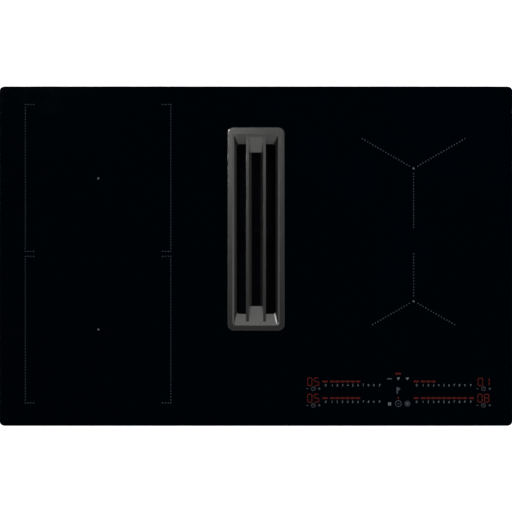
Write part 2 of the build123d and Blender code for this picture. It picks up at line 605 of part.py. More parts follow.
# touch and display unit under the front right of the glass
disp_cx, disp_cy = (DISP_X0 + DISP_X1) / 2, (DISP_Y0 + DISP_Y1) / 2
disp_w, disp_d = DISP_X1 - DISP_X0, DISP_Y1 - DISP_Y0
with BuildPart() as display_carrier:
    with BuildSketch(Plane.XY.offset(-14.0)):
        with Locations((disp_cx, disp_cy)):
            RectangleRounded(disp_w, disp_d, 3)
    extrude(amount=14.0 + Z_WIND_TOP)
    with BuildSketch(Plane.XY.offset(-12.0)):
        with Locations((disp_cx, disp_cy)):
            RectangleRounded(disp_w - 4, disp_d - 4, 2)
    extrude(amount=20.0, mode=Mode.SUBTRACT)
    with BuildSketch(Plane.XY.offset(-12.0)):
        with Locations((disp_cx, disp_cy)):
            with GridLocations(disp_w - 20, disp_d - 20, 2, 2):
                Circle(4)
    extrude(amount=4.0)
    # feet to the casing floor
    with BuildSketch(Plane.XY.offset(Z_FLOOR)):
        with Locations((disp_cx, disp_cy)):
            with GridLocations(disp_w - 20, disp_d - 20, 2, 2):
                Circle(5)
    extrude(amount=-14.0 - Z_FLOOR)
display_carrier.part.label = "display_carrier"
export_step(display_carrier.part, "parts/display_carrier.step")

with BuildPart() as display_board:
    with BuildSketch(Plane.XY.offset(-8.0)):
        with Locations((disp_cx, disp_cy)):
            RectangleRounded(disp_w - 5, disp_d - 5, 2)
    extrude(amount=1.6)
display_board.part.label = "display_board"
export_step(display_board.part, "parts/display_board.step")

# two-digit display modules and light bars, just under the glass
DIGITS = [(87.0, -191.5), (87.0, -216.5), (343.0, -191.5), (343.0, -216.5)]
BARS = [(132.0, -191.5), (132.0, -216.5), (286.0, -191.5), (286.0, -216.5)]
with BuildPart() as display_modules:
    with BuildSketch(Plane.XY.offset(-6.4)):
        with Locations(*[(x, y) for x, y in DIGITS]):
            Rectangle(20, 17)
        with Locations(*[(x, y + 2) for x, y in BARS]):
            Rectangle(60, 5)
    extrude(amount=6.4 + Z_GLASS - 0.4)
display_modules.part.label = "display_modules"
export_step(display_modules.part, "parts/display_modules.step")

# ------------------------------------------------------------------ mains inlet
tx, ty, tw, td = TBOX
with BuildPart() as terminal_box:
    with BuildSketch(Plane.XY.offset(Z_TBOX_BOT)):
        with Locations((tx, ty)):
            RectangleRounded(tw, td, 4)
    extrude(amount=Z_CASE_BOT - Z_TBOX_BOT)
    with BuildSketch(Plane.XY.offset(Z_TBOX_BOT)):
        with Locations((tx, ty)):
            RectangleRounded(tw - 4, td - 4, 2)
    extrude(amount=Z_CASE_BOT - Z_TBOX_BOT - 2.0, mode=Mode.SUBTRACT)
    # cable passage in the roof
    with BuildSketch(Plane.XY.offset(Z_CASE_BOT - 2.0)):
        with Locations((tx + 25, ty + 18)):
            SlotOverall(26, 12)
    extrude(amount=2.0, mode=Mode.SUBTRACT)
    # screw ears
    with BuildSketch(Plane.XY.offset(Z_CASE_BOT - 2.5)):
        with Locations((tx - tw / 2 - 7.5, ty), (tx + tw / 2 + 7.5, ty)):
            Rectangle(17, 16)
        with Locations((BOX_SCREWS[2]), (BOX_SCREWS[3])):
            Circle(SCREW_R, mode=Mode.SUBTRACT)
    extrude(amount=2.5)
    # ears reach only outside the box
    with BuildSketch(Plane.XY.offset(Z_TBOX_BOT)):
        with Locations((tx, ty)):
            RectangleRounded(tw - 4, td - 4, 2)
    extrude(amount=Z_CASE_BOT - Z_TBOX_BOT - 2.0, mode=Mode.SUBTRACT)
    # hinge lugs on the front wall
    with BuildSketch(Plane.YZ.offset(tx - 50.0)):
        with Locations((HINGE_Y, HINGE_Z)):
            Circle(LUG_R)
        with Locations((HINGE_Y + 2.25, HINGE_Z + 4.0)):
            Rectangle(4.5, 8.0)
        with Locations((HINGE_Y, HINGE_Z)):
            Circle(HINGE_R + 0.06, mode=Mode.SUBTRACT)
    extrude(amount=4.0)
    with BuildSketch(Plane.YZ.offset(tx + 46.0)):
        with Locations((HINGE_Y, HINGE_Z)):
            Circle(LUG_R)
        with Locations((HINGE_Y + 2.25, HINGE_Z + 4.0)):
            Rectangle(4.5, 8.0)
        with Locations((HINGE_Y, HINGE_Z)):
            Circle(HINGE_R + 0.06, mode=Mode.SUBTRACT)
    extrude(amount=4.0)
    # round hole for the cable gland in the rear wall
    with BuildSketch(Plane.XZ.offset(-(ty + td / 2 - 4))):
        with Locations((tx, -75.0)):
            Circle(9.0)
    extrude(amount=-8.0, mode=Mode.SUBTRACT)
terminal_box.part.label = "terminal_box"
export_step(terminal_box.part, "parts/terminal_box.step")

with BuildPart() as terminal_cover:
    with BuildSketch(Plane.XY.offset(HINGE_Z - 2.5)):
        with Locations((tx, ty)):
            RectangleRounded(tw, td, 4)
        with Locations((tx, ty - td / 2 + 0.5)):
            Rectangle(84, 9)
        with Locations((tx - 48.0, ty - td / 2), (tx + 48.0, ty - td / 2)):
            Rectangle(6.0, 1.6, mode=Mode.SUBTRACT)
    extrude(amount=2.5)
    # hinge barrel
    with BuildSketch(Plane.YZ.offset(tx - 50.0)):
        with Locations((HINGE_Y, HINGE_Z)):
            Circle(HINGE_R)
    extrude(amount=100.0)
    # finger tab at the rear edge
    with BuildSketch(Plane.XY.offset(HINGE_Z - 2.5)):
        with Locations((tx + 34, ty + td / 2 + 2)):
            RectangleRounded(18, 8, 2)
    extrude(amount=2.5)
terminal_cover.part.label = "terminal_cover"
export_step(terminal_cover.part, "parts/terminal_cover.step")

with BuildPart() as terminal_block:
    with BuildSketch(Plane.XY.offset(-80.0)):
        with Locations((tx, ty - 6)):
            Rectangle(66, 24)
    extrude(amount=20.0)
    with BuildSketch(Plane.XY.offset(-80.0)):
        with Locations((tx, ty - 6)):
            with GridLocations(10.5, 14, 6, 2):
                Circle(2.6)
    extrude(amount=9.0, mode=Mode.SUBTRACT)
    with BuildSketch(Plane.XY.offset(-80.0)):
        with Locations((tx, ty - 6)):
            with GridLocations(10.5, 1, 5, 1):
                Rectangle(1.2, 24)
    extrude(amount=6.0, mode=Mode.SUBTRACT)
terminal_block.part.label = "terminal_block"
export_step(terminal_block.part, "parts/terminal_block.step")

with BuildPart() as cable_gland:
    with BuildSketch(Plane.XZ.offset(-(ty + td / 2 - 10))):
        with Locations((tx, -75.0)):
            Circle(9.0)
    extrude(amount=-22.0)
    with BuildSketch(Plane.XZ.offset(-(ty + td / 2))):
        with Locations((tx, -75.0)):
            RegularPolygon(13.0, 6)
    extrude(amount=-5.0)
    with BuildSketch(Plane.XZ.offset(-(ty + td / 2 - 8))):
        with Locations((tx, -75.0)):
            RegularPolygon(12.5, 6)
            Circle(9.0, mode=Mode.SUBTRACT)
    extrude(amount=-6.0)
    with BuildSketch(Plane.XZ.offset(-(ty + td / 2 - 12))):
        with Locations((tx, -75.0)):
            Circle(6.5)
    extrude(amount=-26.0, mode=Mode.SUBTRACT)
    chamfer(cable_gland.edges().group_by(Axis.Y)[-1], 0.8)
cable_gland.part.label = "cable_gland"
export_step(cable_gland.part, "parts/cable_gland.step")

# control box of the suction fan
bx, by, bw, bd = CBOX
with BuildPart() as fan_control_box:
    with BuildSketch(Plane.XY.offset(Z_CBOX_BOT)):
        with Locations((bx, by)):
            RectangleRounded(bw, bd, 5)
    extrude(amount=Z_CASE_BOT - Z_CBOX_BOT)
    fillet(fan_control_box.edges().group_by(Axis.Z)[0], 2.0)
    with BuildSketch(Plane.XY.offset(Z_CBOX_BOT + 2.0)):
        with Locations((bx, by)):
            RectangleRounded(bw - 4, bd - 4, 3)
    extrude(amount=Z_CASE_BOT - Z_CBOX_BOT, mode=Mode.SUBTRACT)
    with BuildSketch(Plane.XY.offset(Z_CASE_BOT - 3.0)):
        with Locations((bx - bw / 2 - 6, by), (bx + bw / 2 + 6, by)):
            Rectangle(16, 18)
        with Locations((BOX_SCREWS[0]), (BOX_SCREWS[1])):
            Circle(SCREW_R, mode=Mode.SUBTRACT)
    extrude(amount=3.0)
    with BuildSketch(Plane.XY.offset(Z_CBOX_BOT + 2.0)):
        with Locations((bx, by)):
            RectangleRounded(bw - 4, bd - 4, 3)
    extrude(amount=Z_CASE_BOT - Z_CBOX_BOT, mode=Mode.SUBTRACT)
fan_control_box.part.label = "fan_control_box"
export_step(fan_control_box.part, "parts/fan_control_box.step")

with BuildPart() as fan_control_board:
    with BuildSketch(Plane.XY.offset(-88.0)):
        with Locations((bx, by)):
            Rectangle(bw - 14, bd - 14)
    extrude(amount=1.6)
    with BuildSketch(Plane.XY.offset(-94.0)):
        with Locations((bx, by)):
            with GridLocations(bw - 30, bd - 30, 2, 2):
                Circle(3)
    extrude(amount=6.0)
    with BuildSketch(Plane.XY.offset(-86.4)):
        with Locations((bx - 50, by), (bx - 10, by + 18)):
            Rectangle(22, 30)
        with Locations((bx + 45, by - 10)):
            Circle(12)
    extrude(amount=18.0)
fan_control_board.part.label = "fan_control_board"
export_step(fan_control_board.part, "parts/fan_control_board.step")

# ------------------------------------------------------------------ lower fan unit
tub_cx, tub_cy = (TUB_X0 + TUB_X1) / 2, (TUB_Y0 + TUB_Y1) / 2
tub_w, tub_d = TUB_X1 - TUB_X0, TUB_Y1 - TUB_Y0
with BuildPart() as plenum_tub:
    with BuildSketch(Plane.XY.offset(Z_TUB_BOT)):
        with Locations((tub_cx, tub_cy)):
            RectangleRounded(tub_w, tub_d, TUB_R)
    extrude(amount=Z_TUB_TOP - Z_TUB_BOT)
    fillet(plenum_tub.edges().group_by(Axis.Z)[0], 5.0)
    # stiffening ribs on the outside
    with BuildSketch(Plane.XY.offset(Z_TUB_BOT + 8.0)):
        with Locations(*[(TUB_X0 - 1.5, tub_cy + d) for d in (-120, -60, 0, 60, 120)],
                       *[(TUB_X1 + 1.5, tub_cy + d) for d in (-120, -60, 0, 60, 120)]):
            Rectangle(6, 3)
        with Locations(*[(tub_cx + d, TUB_Y0 - 1.5) for d in (-150, -90, -30, 30, 90, 150)]):
            Rectangle(3, 6)
    extrude(amount=Z_TUB_TOP - Z_TUB_BOT - 9.0)
    # rim
    with BuildSketch(Plane.XY.offset(Z_TUB_TOP - RIM_T)):
        with Locations((tub_cx, tub_cy)):
            RectangleRounded(tub_w + 2 * RIM_W, tub_d + 2 * RIM_W, TUB_R + 4)
    extrude(amount=RIM_T)
    with BuildSketch(Plane.XY.offset(Z_TUB_BOT + TUB_WALL)):
        with Locations((tub_cx, tub_cy)):
            RectangleRounded(tub_w - 2 * TUB_WALL, tub_d - 2 * TUB_WALL, TUB_R - TUB_WALL)
    extrude(amount=Z_TUB_TOP - Z_TUB_BOT, mode=Mode.SUBTRACT)
    # bosses under the scroll housing
    with BuildSketch(Plane.XY.offset(Z_TUB_BOT + TUB_WALL)):
        with Locations(*EARS):
            Circle(5.0)
    extrude(amount=Z_VOL_BOT - Z_TUB_BOT - TUB_WALL)
    with BuildSketch(Plane.XY.offset(Z_VOL_BOT - 12.0)):
        with Locations(*EARS):
            Circle(SCREW_R)
    extrude(amount=12.0, mode=Mode.SUBTRACT)
    # window for the duct outlet
    with BuildSketch(Plane.XZ.offset(-(TUB_Y1 - 12))):
        with Locations((DUCT_X, DUCT_Z)):
            Rectangle(DUCT_W + 1.0, DUCT_H + 1.0)
        with Locations(*DUCT_SCREWS):
            Circle(SCREW_R)
    extrude(amount=-16.0, mode=Mode.SUBTRACT)
    with BuildSketch(Plane.XY.offset(Z_TUB_TOP - RIM_T)):
        with Locations(*RIM_SCREWS):
            Circle(SCREW_R)
    extrude(amount=RIM_T, mode=Mode.SUBTRACT)
plenum_tub.part.label = "plenum_tub"
export_step(plenum_tub.part, "parts/plenum_tub.step")

with BuildPart() as plenum_lid:
    with BuildSketch(Plane.XY.offset(Z_TUB_TOP)):
        with Locations((tub_cx, tub_cy)):
            RectangleRounded(tub_w + 2 * RIM_W, tub_d + 2 * RIM_W, TUB_R + 4)
        with Locations((0, WELL_Y)):
            RectangleRounded(THROAT_X + 5, THROAT_Y + 5, 9.5, mode=Mode.SUBTRACT)
        with Locations(*RIM_SCREWS):
            Circle(SCREW_R, mode=Mode.SUBTRACT)
    extrude(amount=LID_T)
plenum_lid.part.label = "plenum_lid"
export_step(plenum_lid.part, "parts/plenum_lid.step")


tongue_in = spiral(TONGUE_DEG, 0.0)
tongue_out = (tongue_in[0] - 1.2, tongue_in[1] + 2.6)

with BuildPart() as volute_lower:
    with BuildSketch(Plane.XY.offset(Z_VOL_BOT)) as vol_outer:
        with BuildLine():
            s_out = Spline(*[spiral(a, VOL_WALL) for a in SPIRAL_STEPS])
            l1 = Line(s_out @ 1, (DUCT_X + DUCT_W / 2, DUCT_Y0))
            l2 = Line(l1 @ 1, (DUCT_X - DUCT_W / 2, DUCT_Y0))
            l3 = Line(l2 @ 1, (DUCT_X - DUCT_W / 2, DUCT_Y0 - 4))
            l4 = Line(l3 @ 1, (tongue_in[0] - 4.0, tongue_in[1] + 6.5))
            l5 = Line(l4 @ 1, s_out @ 0)
        make_face()
        with Locations(*EARS):
            Circle(6.5)
    extrude(amount=Z_VOL_TOP - VOL_WALL - Z_VOL_BOT)
    # the ears are only as high as the floor
    with BuildSketch(Plane.XY.offset(Z_VOL_BOT + VOL_WALL)):
        with Locations(*EARS):
            Circle(9.5)
        with BuildLine():
            s_cut = Spline(*[spiral(a, VOL_WALL) for a in SPIRAL_STEPS])
            c1 = Line(s_cut @ 1, (DUCT_X + DUCT_W / 2, DUCT_Y0))
            c2 = Line(c1 @ 1, (DUCT_X - DUCT_W / 2, DUCT_Y0))
            c3 = Line(c2 @ 1, (DUCT_X - DUCT_W / 2, DUCT_Y0 - 4))
            c4 = Line(c3 @ 1, (tongue_in[0] - 4.0, tongue_in[1] + 6.5))
            c5 = Line(c4 @ 1, s_cut @ 0)
        make_face(mode=Mode.SUBTRACT)
    extrude(amount=Z_VOL_TOP - Z_VOL_BOT, mode=Mode.SUBTRACT)
    # air channel
    with BuildSketch(Plane.XY.offset(Z_VOL_BOT + VOL_WALL)):
        with BuildLine():
            s_in = Spline(*[spiral(a, 0.0) for a in SPIRAL_STEPS])
            m1 = Line(s_in @ 1, (DUCT_X + DUCT_W / 2 - VOL_WALL, DUCT_Y0))
            m2 = Line(m1 @ 1, (DUCT_X - DUCT_W / 2 + VOL_WALL, DUCT_Y0))
            m3 = Line(m2 @ 1, (DUCT_X - DUCT_W / 2 + VOL_WALL, DUCT_Y0 - 2.2))
            m4 = Line(m3 @ 1, (tongue_in[0] + 2.5, tongue_in[1] + 4.0))
            m5 = Line(m4 @ 1, s_in @ 0)
        make_face()
    extrude(amount=Z_VOL_TOP - Z_VOL_BOT, mode=Mode.SUBTRACT)
    # screw holes
    with BuildSketch(Plane.XY.offset(Z_VOL_BOT)):
        with Locations(*EARS):
            Circle(SCREW_R)
        with Locations((FAN_X, FAN_Y)):
            with PolarLocations(MOTOR_SCREW_R, 3, start_angle=30):
                Circle(SCREW_R)
    extrude(amount=VOL_WALL, mode=Mode.SUBTRACT)
volute_lower.part.label = "volute_lower"
export_step(volute_lower.part, "parts/volute_lower.step")

with BuildPart() as volute_upper:
    with BuildSketch(Plane.XY.offset(Z_VOL_TOP - VOL_WALL)):
        with BuildLine():
            u_out = Spline(*[spiral(a, VOL_WALL) for a in SPIRAL_STEPS])
            n1 = Line(u_out @ 1, (DUCT_X + DUCT_W / 2, DUCT_Y0))
            n2 = Line(n1 @ 1, (DUCT_X - DUCT_W / 2, DUCT_Y0))
            n3 = Line(n2 @ 1, (DUCT_X - DUCT_W / 2, DUCT_Y0 - 4))
            n4 = Line(n3 @ 1, (tongue_in[0] - 4.0, tongue_in[1] + 6.5))
            n5 = Line(n4 @ 1, u_out @ 0)
        make_face()
    extrude(amount=VOL_WALL)
    # inlet ring with a rounded mouth
    with BuildSketch(Plane.XY.offset(Z_VOL_TOP - VOL_WALL)):
        with Locations((FAN_X, FAN_Y)):
            Circle(74)
    extrude(amount=11.0)
    with BuildSketch(Plane.XY.offset(Z_VOL_TOP - VOL_WALL)):
        with Locations((FAN_X, FAN_Y)):
            Circle(67)
    extrude(amount=11.0, mode=Mode.SUBTRACT)
    fillet(volute_upper.edges().group_by(Axis.Z)[-1], 3.0)
volute_upper.part.label = "volute_upper"
export_step(volute_upper.part, "parts/volute_upper.step")

Z_DISC = -180.0
Z_CUP = -134.0
with BuildPart() as impeller:
    # back disc
    with BuildSketch(Plane.XY.offset(Z_DISC)):
        with Locations((FAN_X, FAN_Y)):
            Circle(IMP_R)
    extrude(amount=2.0)
    # raised cup over the motor
    with BuildSketch(Plane.XY.offset(Z_DISC)):
        with Locations((FAN_X, FAN_Y)):
            Circle(CUP_R)
    extrude(amount=Z_CUP - Z_DISC)
    fillet(impeller.edges().group_by(Axis.Z)[-1], 6.0)
    # hub
    with BuildSketch(Plane.XY.offset(Z_CUP - 2)):
        with Locations((FAN_X, FAN_Y)):
            Circle(9)
    extrude(amount=8.0)
    with BuildSketch(Plane.XY.offset(Z_DISC)):
        with Locations((FAN_X, FAN_Y)):
            Circle(CUP_R - 2.0)
    extrude(amount=Z_CUP - Z_DISC - 2.0, mode=Mode.SUBTRACT)
    with BuildSketch(Plane.XY.offset(Z_CUP - 4)):
        with Locations((FAN_X, FAN_Y)):
            Circle(SHAFT_R)
    extrude(amount=12.0, mode=Mode.SUBTRACT)
impeller.part.label = "impeller"
export_step(impeller.part, "parts/impeller.step")

# blades set between the back disc and the front ring
with BuildPart() as impeller_blades:
    with BuildSketch(Plane.XY.offset(Z_DISC + 2.0)):
        with Locations((FAN_X, FAN_Y)):
            with PolarLocations(80.5, 36):
                Rectangle(15.0, 1.3, rotation=33)
    extrude(amount=60.0)
impeller_blades.part.label = "impeller_blades"
export_step(impeller_blades.part, "parts/impeller_blades.step")

with BuildPart() as impeller_ring:
    with BuildSketch(Plane.XY.offset(Z_DISC + 62.0)):
        with Locations((FAN_X, FAN_Y)):
            Circle(IMP_R)
            Circle(IMP_IN, mode=Mode.SUBTRACT)
    extrude(amount=3.0)
impeller_ring.part.label = "impeller_ring"
export_step(impeller_ring.part, "parts/impeller_ring.step")

with BuildPart() as motor:
    with BuildSketch(Plane.XY.offset(-188.0)):
        with Locations((FAN_X, FAN_Y)):
            Circle(60)
            with PolarLocations(MOTOR_SCREW_R, 3, start_angle=30):
                Circle(SCREW_R, mode=Mode.SUBTRACT)
    extrude(amount=2.5)
    with BuildSketch(Plane.XY.offset(-188.0)):
        with Locations((FAN_X, FAN_Y)):
            Circle(MOTOR_R)
    extrude(amount=48.0)
    fillet(motor.edges().group_by(Axis.Z)[-1], 3.0)
    with BuildSketch(Plane.XY.offset(-188.0)):
        with Locations((FAN_X, FAN_Y)):
            Circle(SHAFT_R + 0.6)
    extrude(amount=48.0, mode=Mode.SUBTRACT)
    with BuildSketch(Plane.XY.offset(-188.0)):
        with Locations((FAN_X, FAN_Y)):
            Circle(BEAR_R)
    extrude(amount=BEAR_T, mode=Mode.SUBTRACT)
    with BuildSketch(Plane.XY.offset(-140.0 - BEAR_T)):
        with Locations((FAN_X, FAN_Y)):
            Circle(BEAR_R)
    extrude(amount=BEAR_T, mode=Mode.SUBTRACT)
motor.part.label = "motor"
export_step(motor.part, "parts/motor.step")

with BuildPart() as motor_bearings:
    for z0 in (-188.0, -140.0 - BEAR_T):
        with BuildSketch(Plane.XY.offset(z0)):
            with Locations((FAN_X, FAN_Y)):
                Circle(BEAR_R)
                Circle(BEAR_BORE, mode=Mode.SUBTRACT)
        extrude(amount=BEAR_T)
motor_bearings.part.label = "motor_bearings"
export_step(motor_bearings.part, "parts/motor_bearings.step")

with BuildPart() as motor_shaft:
    with BuildSketch(Plane.XY.offset(-187.5)):
        with Locations((FAN_X, FAN_Y)):
            Circle(SHAFT_R)
    extrude(amount=61.0)
    chamfer(motor_shaft.edges().group_by(Axis.Z)[-1], 0.6)
motor_shaft.part.label = "motor_shaft"
export_step(motor_shaft.part, "parts/motor_shaft.step")

# rubber washers between motor flange and scroll floor
with BuildPart() as motor_bushes:
    with BuildSketch(Plane.XY.offset(-190.0)):
        with Locations((FAN_X, FAN_Y)):
            with PolarLocations(MOTOR_SCREW_R, 3, start_angle=30):
                Circle(7)
                Circle(SCREW_R, mode=Mode.SUBTRACT)
    extrude(amount=2.0)
motor_bushes.part.label = "motor_bushes"
export_step(motor_bushes.part, "parts/motor_bushes.step")

with BuildPart() as outlet_spigot:
    with BuildSketch(Plane.XZ.offset(-DUCT_Y0)):
        with Locations((DUCT_X, DUCT_Z)):
            Rectangle(DUCT_W, DUCT_H)
    extrude(amount=-(DUCT_Y1 - DUCT_Y0))
    with BuildSketch(Plane.XZ.offset(-TUB_Y1)):
        with Locations((DUCT_X, DUCT_Z)):
            RectangleRounded(DUCT_W + 16, DUCT_H + 22, 5)
        with Locations(*DUCT_SCREWS):
            Circle(SCREW_R, mode=Mode.SUBTRACT)
    extrude(amount=-2.5)
    with BuildSketch(Plane.XZ.offset(-DUCT_Y0)):
        with Locations((DUCT_X, DUCT_Z)):
            Rectangle(DUCT_W - 2 * VOL_WALL, DUCT_H - 2 * VOL_WALL)
    extrude(amount=-(DUCT_Y1 - DUCT_Y0), mode=Mode.SUBTRACT)
    # pin holes for the non-return flap
    with BuildSketch(Plane.YZ.offset(DUCT_X - DUCT_W / 2)):
        with Locations((FLAP_Y, FLAP_Z)):
            Circle(FLAP_PIN_R)
    extrude(amount=DUCT_W, mode=Mode.SUBTRACT)
outlet_spigot.part.label = "outlet_spigot"
export_step(outlet_spigot.part, "parts/outlet_spigot.step")

with BuildPart() as flap_pin:
    with BuildSketch(Plane.YZ.offset(DUCT_X - DUCT_W / 2)):
        with Locations((FLAP_Y, FLAP_Z)):
            Circle(FLAP_PIN_R)
    extrude(amount=DUCT_W)
flap_pin.part.label = "flap_pin"
export_step(flap_pin.part, "parts/flap_pin.step")

with BuildPart() as outlet_flap:
    with BuildSketch(Plane.YZ.offset(DUCT_X - 107.0)):
        with Locations((FLAP_Y, FLAP_Z)):
            Circle(3.0)
        with Locations((FLAP_Y, FLAP_Z - FLAP_LEN / 2)):
            Rectangle(1.6, FLAP_LEN)
    extrude(amount=214.0)
    with BuildSketch(Plane.YZ.offset(DUCT_X - 107.0)):
        with Locations((FLAP_Y, FLAP_Z)):
            Circle(FLAP_PIN_R + 0.06)
    extrude(amount=214.0, mode=Mode.SUBTRACT)
outlet_flap.part.label = "outlet_flap"
export_step(outlet_flap.part, "parts/outlet_flap.step")

# ------------------------------------------------------------------ screws
with BuildPart() as screws:
    # from below through rim, lid and casing floor
    with BuildSketch(Plane.XY.offset(Z_TUB_TOP - RIM_T - HEAD_T)):
        with Locations(*RIM_SCREWS):
            Circle(HEAD_R)
    extrude(amount=HEAD_T)
    with BuildSketch(Plane.XY.offset(Z_TUB_TOP - RIM_T)):
        with Locations(*RIM_SCREWS):
            Circle(SCREW_R)
    extrude(amount=RIM_T + LID_T + SHEET + 1.5)
    # fan control box
    with BuildSketch(Plane.XY.offset(Z_CASE_BOT - 3.0 - HEAD_T)):
        with Locations(*BOX_SCREWS[:2]):
            Circle(HEAD_R)
    extrude(amount=HEAD_T)
    with BuildSketch(Plane.XY.offset(Z_CASE_BOT - 3.0)):
        with Locations(*BOX_SCREWS[:2]):
            Circle(SCREW_R)
    extrude(amount=6.0)
    # terminal box
    with BuildSketch(Plane.XY.offset(Z_CASE_BOT - 2.5 - HEAD_T)):
        with Locations(*BOX_SCREWS[2:]):
            Circle(HEAD_R)
    extrude(amount=HEAD_T)
    with BuildSketch(Plane.XY.offset(Z_CASE_BOT - 2.5)):
        with Locations(*BOX_SCREWS[2:]):
            Circle(SCREW_R)
    extrude(amount=5.5)
    # scroll housing ears
    with BuildSketch(Plane.XY.offset(Z_VOL_BOT + VOL_WALL)):
        with Locations(*EARS):
            Circle(HEAD_R)
    extrude(amount=HEAD_T)
    with BuildSketch(Plane.XY.offset(Z_VOL_BOT + VOL_WALL)):
        with Locations(*EARS):
            Circle(SCREW_R)
    extrude(amount=-11.0)
    # motor flange
    with BuildSketch(Plane.XY.offset(-185.5)):
        with Locations((FAN_X, FAN_Y)):
            with PolarLocations(MOTOR_SCREW_R, 3, start_angle=30):
                Circle(HEAD_R)
    extrude(amount=HEAD_T)
    with BuildSketch(Plane.XY.offset(-185.5)):
        with Locations((FAN_X, FAN_Y)):
            with PolarLocations(MOTOR_SCREW_R, 3, start_angle=30):
                Circle(SCREW_R)
    extrude(amount=-8.5)
    # duct outlet flange
    with BuildSketch(Plane.XZ.offset(-(TUB_Y1 + 2.5))):
        with Locations(*DUCT_SCREWS):
            Circle(HEAD_R)
    extrude(amount=-HEAD_T)
    with BuildSketch(Plane.XZ.offset(-(TUB_Y1 + 2.5))):
        with Locations(*DUCT_SCREWS):
            Circle(SCREW_R)
    extrude(amount=7.5)
    # spring clips, right side then mirrored to the left
    for sx in (-1, 1):
        with BuildSketch(Plane.YZ.offset(sx * 370.9)):
            with Locations(*[(y + s * CLIP_SCREW_DY, -9.0) for y in CLIP_Y for s in (-1, 1)]):
                Circle(HEAD_R)
        extrude(amount=sx * HEAD_T)
        with BuildSketch(Plane.YZ.offset(sx * 370.9)):
            with Locations(*[(y + s * CLIP_SCREW_DY, -9.0) for y in CLIP_Y for s in (-1, 1)]):
                Circle(SCREW_R)
        extrude(amount=-sx * 7.0)
screws.part.label = "screws"
export_step(screws.part, "parts/screws.step")

print("pieces written:", len([f for f in os.listdir("parts") if f.endswith(".step")]))
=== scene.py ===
import json
import math

import bpy
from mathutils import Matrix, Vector


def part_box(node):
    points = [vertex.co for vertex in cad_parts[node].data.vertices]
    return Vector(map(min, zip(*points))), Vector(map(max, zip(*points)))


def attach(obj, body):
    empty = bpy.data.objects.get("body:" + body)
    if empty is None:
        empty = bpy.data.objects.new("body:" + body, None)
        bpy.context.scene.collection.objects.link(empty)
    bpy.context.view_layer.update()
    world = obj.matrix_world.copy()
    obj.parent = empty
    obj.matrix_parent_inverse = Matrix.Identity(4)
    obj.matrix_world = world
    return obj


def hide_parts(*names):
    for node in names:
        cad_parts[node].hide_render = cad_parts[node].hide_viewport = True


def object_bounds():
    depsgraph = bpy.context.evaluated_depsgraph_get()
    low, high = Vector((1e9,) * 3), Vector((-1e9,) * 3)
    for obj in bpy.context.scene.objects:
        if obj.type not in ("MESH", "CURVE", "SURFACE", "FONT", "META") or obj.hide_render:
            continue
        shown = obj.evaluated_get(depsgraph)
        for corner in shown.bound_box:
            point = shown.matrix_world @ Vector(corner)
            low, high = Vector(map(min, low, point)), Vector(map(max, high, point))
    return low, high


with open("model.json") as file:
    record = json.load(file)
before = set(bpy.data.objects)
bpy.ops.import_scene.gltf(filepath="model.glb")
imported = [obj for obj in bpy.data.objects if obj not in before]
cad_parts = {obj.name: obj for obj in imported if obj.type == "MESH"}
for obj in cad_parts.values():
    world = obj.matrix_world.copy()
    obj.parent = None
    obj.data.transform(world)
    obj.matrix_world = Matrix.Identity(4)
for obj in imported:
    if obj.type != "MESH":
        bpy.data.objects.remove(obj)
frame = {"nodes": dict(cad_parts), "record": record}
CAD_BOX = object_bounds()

NODES = frame["nodes"]
SLOT_OF = {s["node"]: s["material_slot"] for s in frame["record"]["subparts"]}
COLOR_OF = {m["slot"]: m["base_color"][:3] for m in frame["record"]["materials"]}
Z_TOP = 0.006           # top of the glass
PX = 1.5192e-3          # metres per pixel of the plan view


def at(px, py):
    """plan pixel to metres"""
    return ((px - 256.0) * PX, (256.1 - py) * PX)


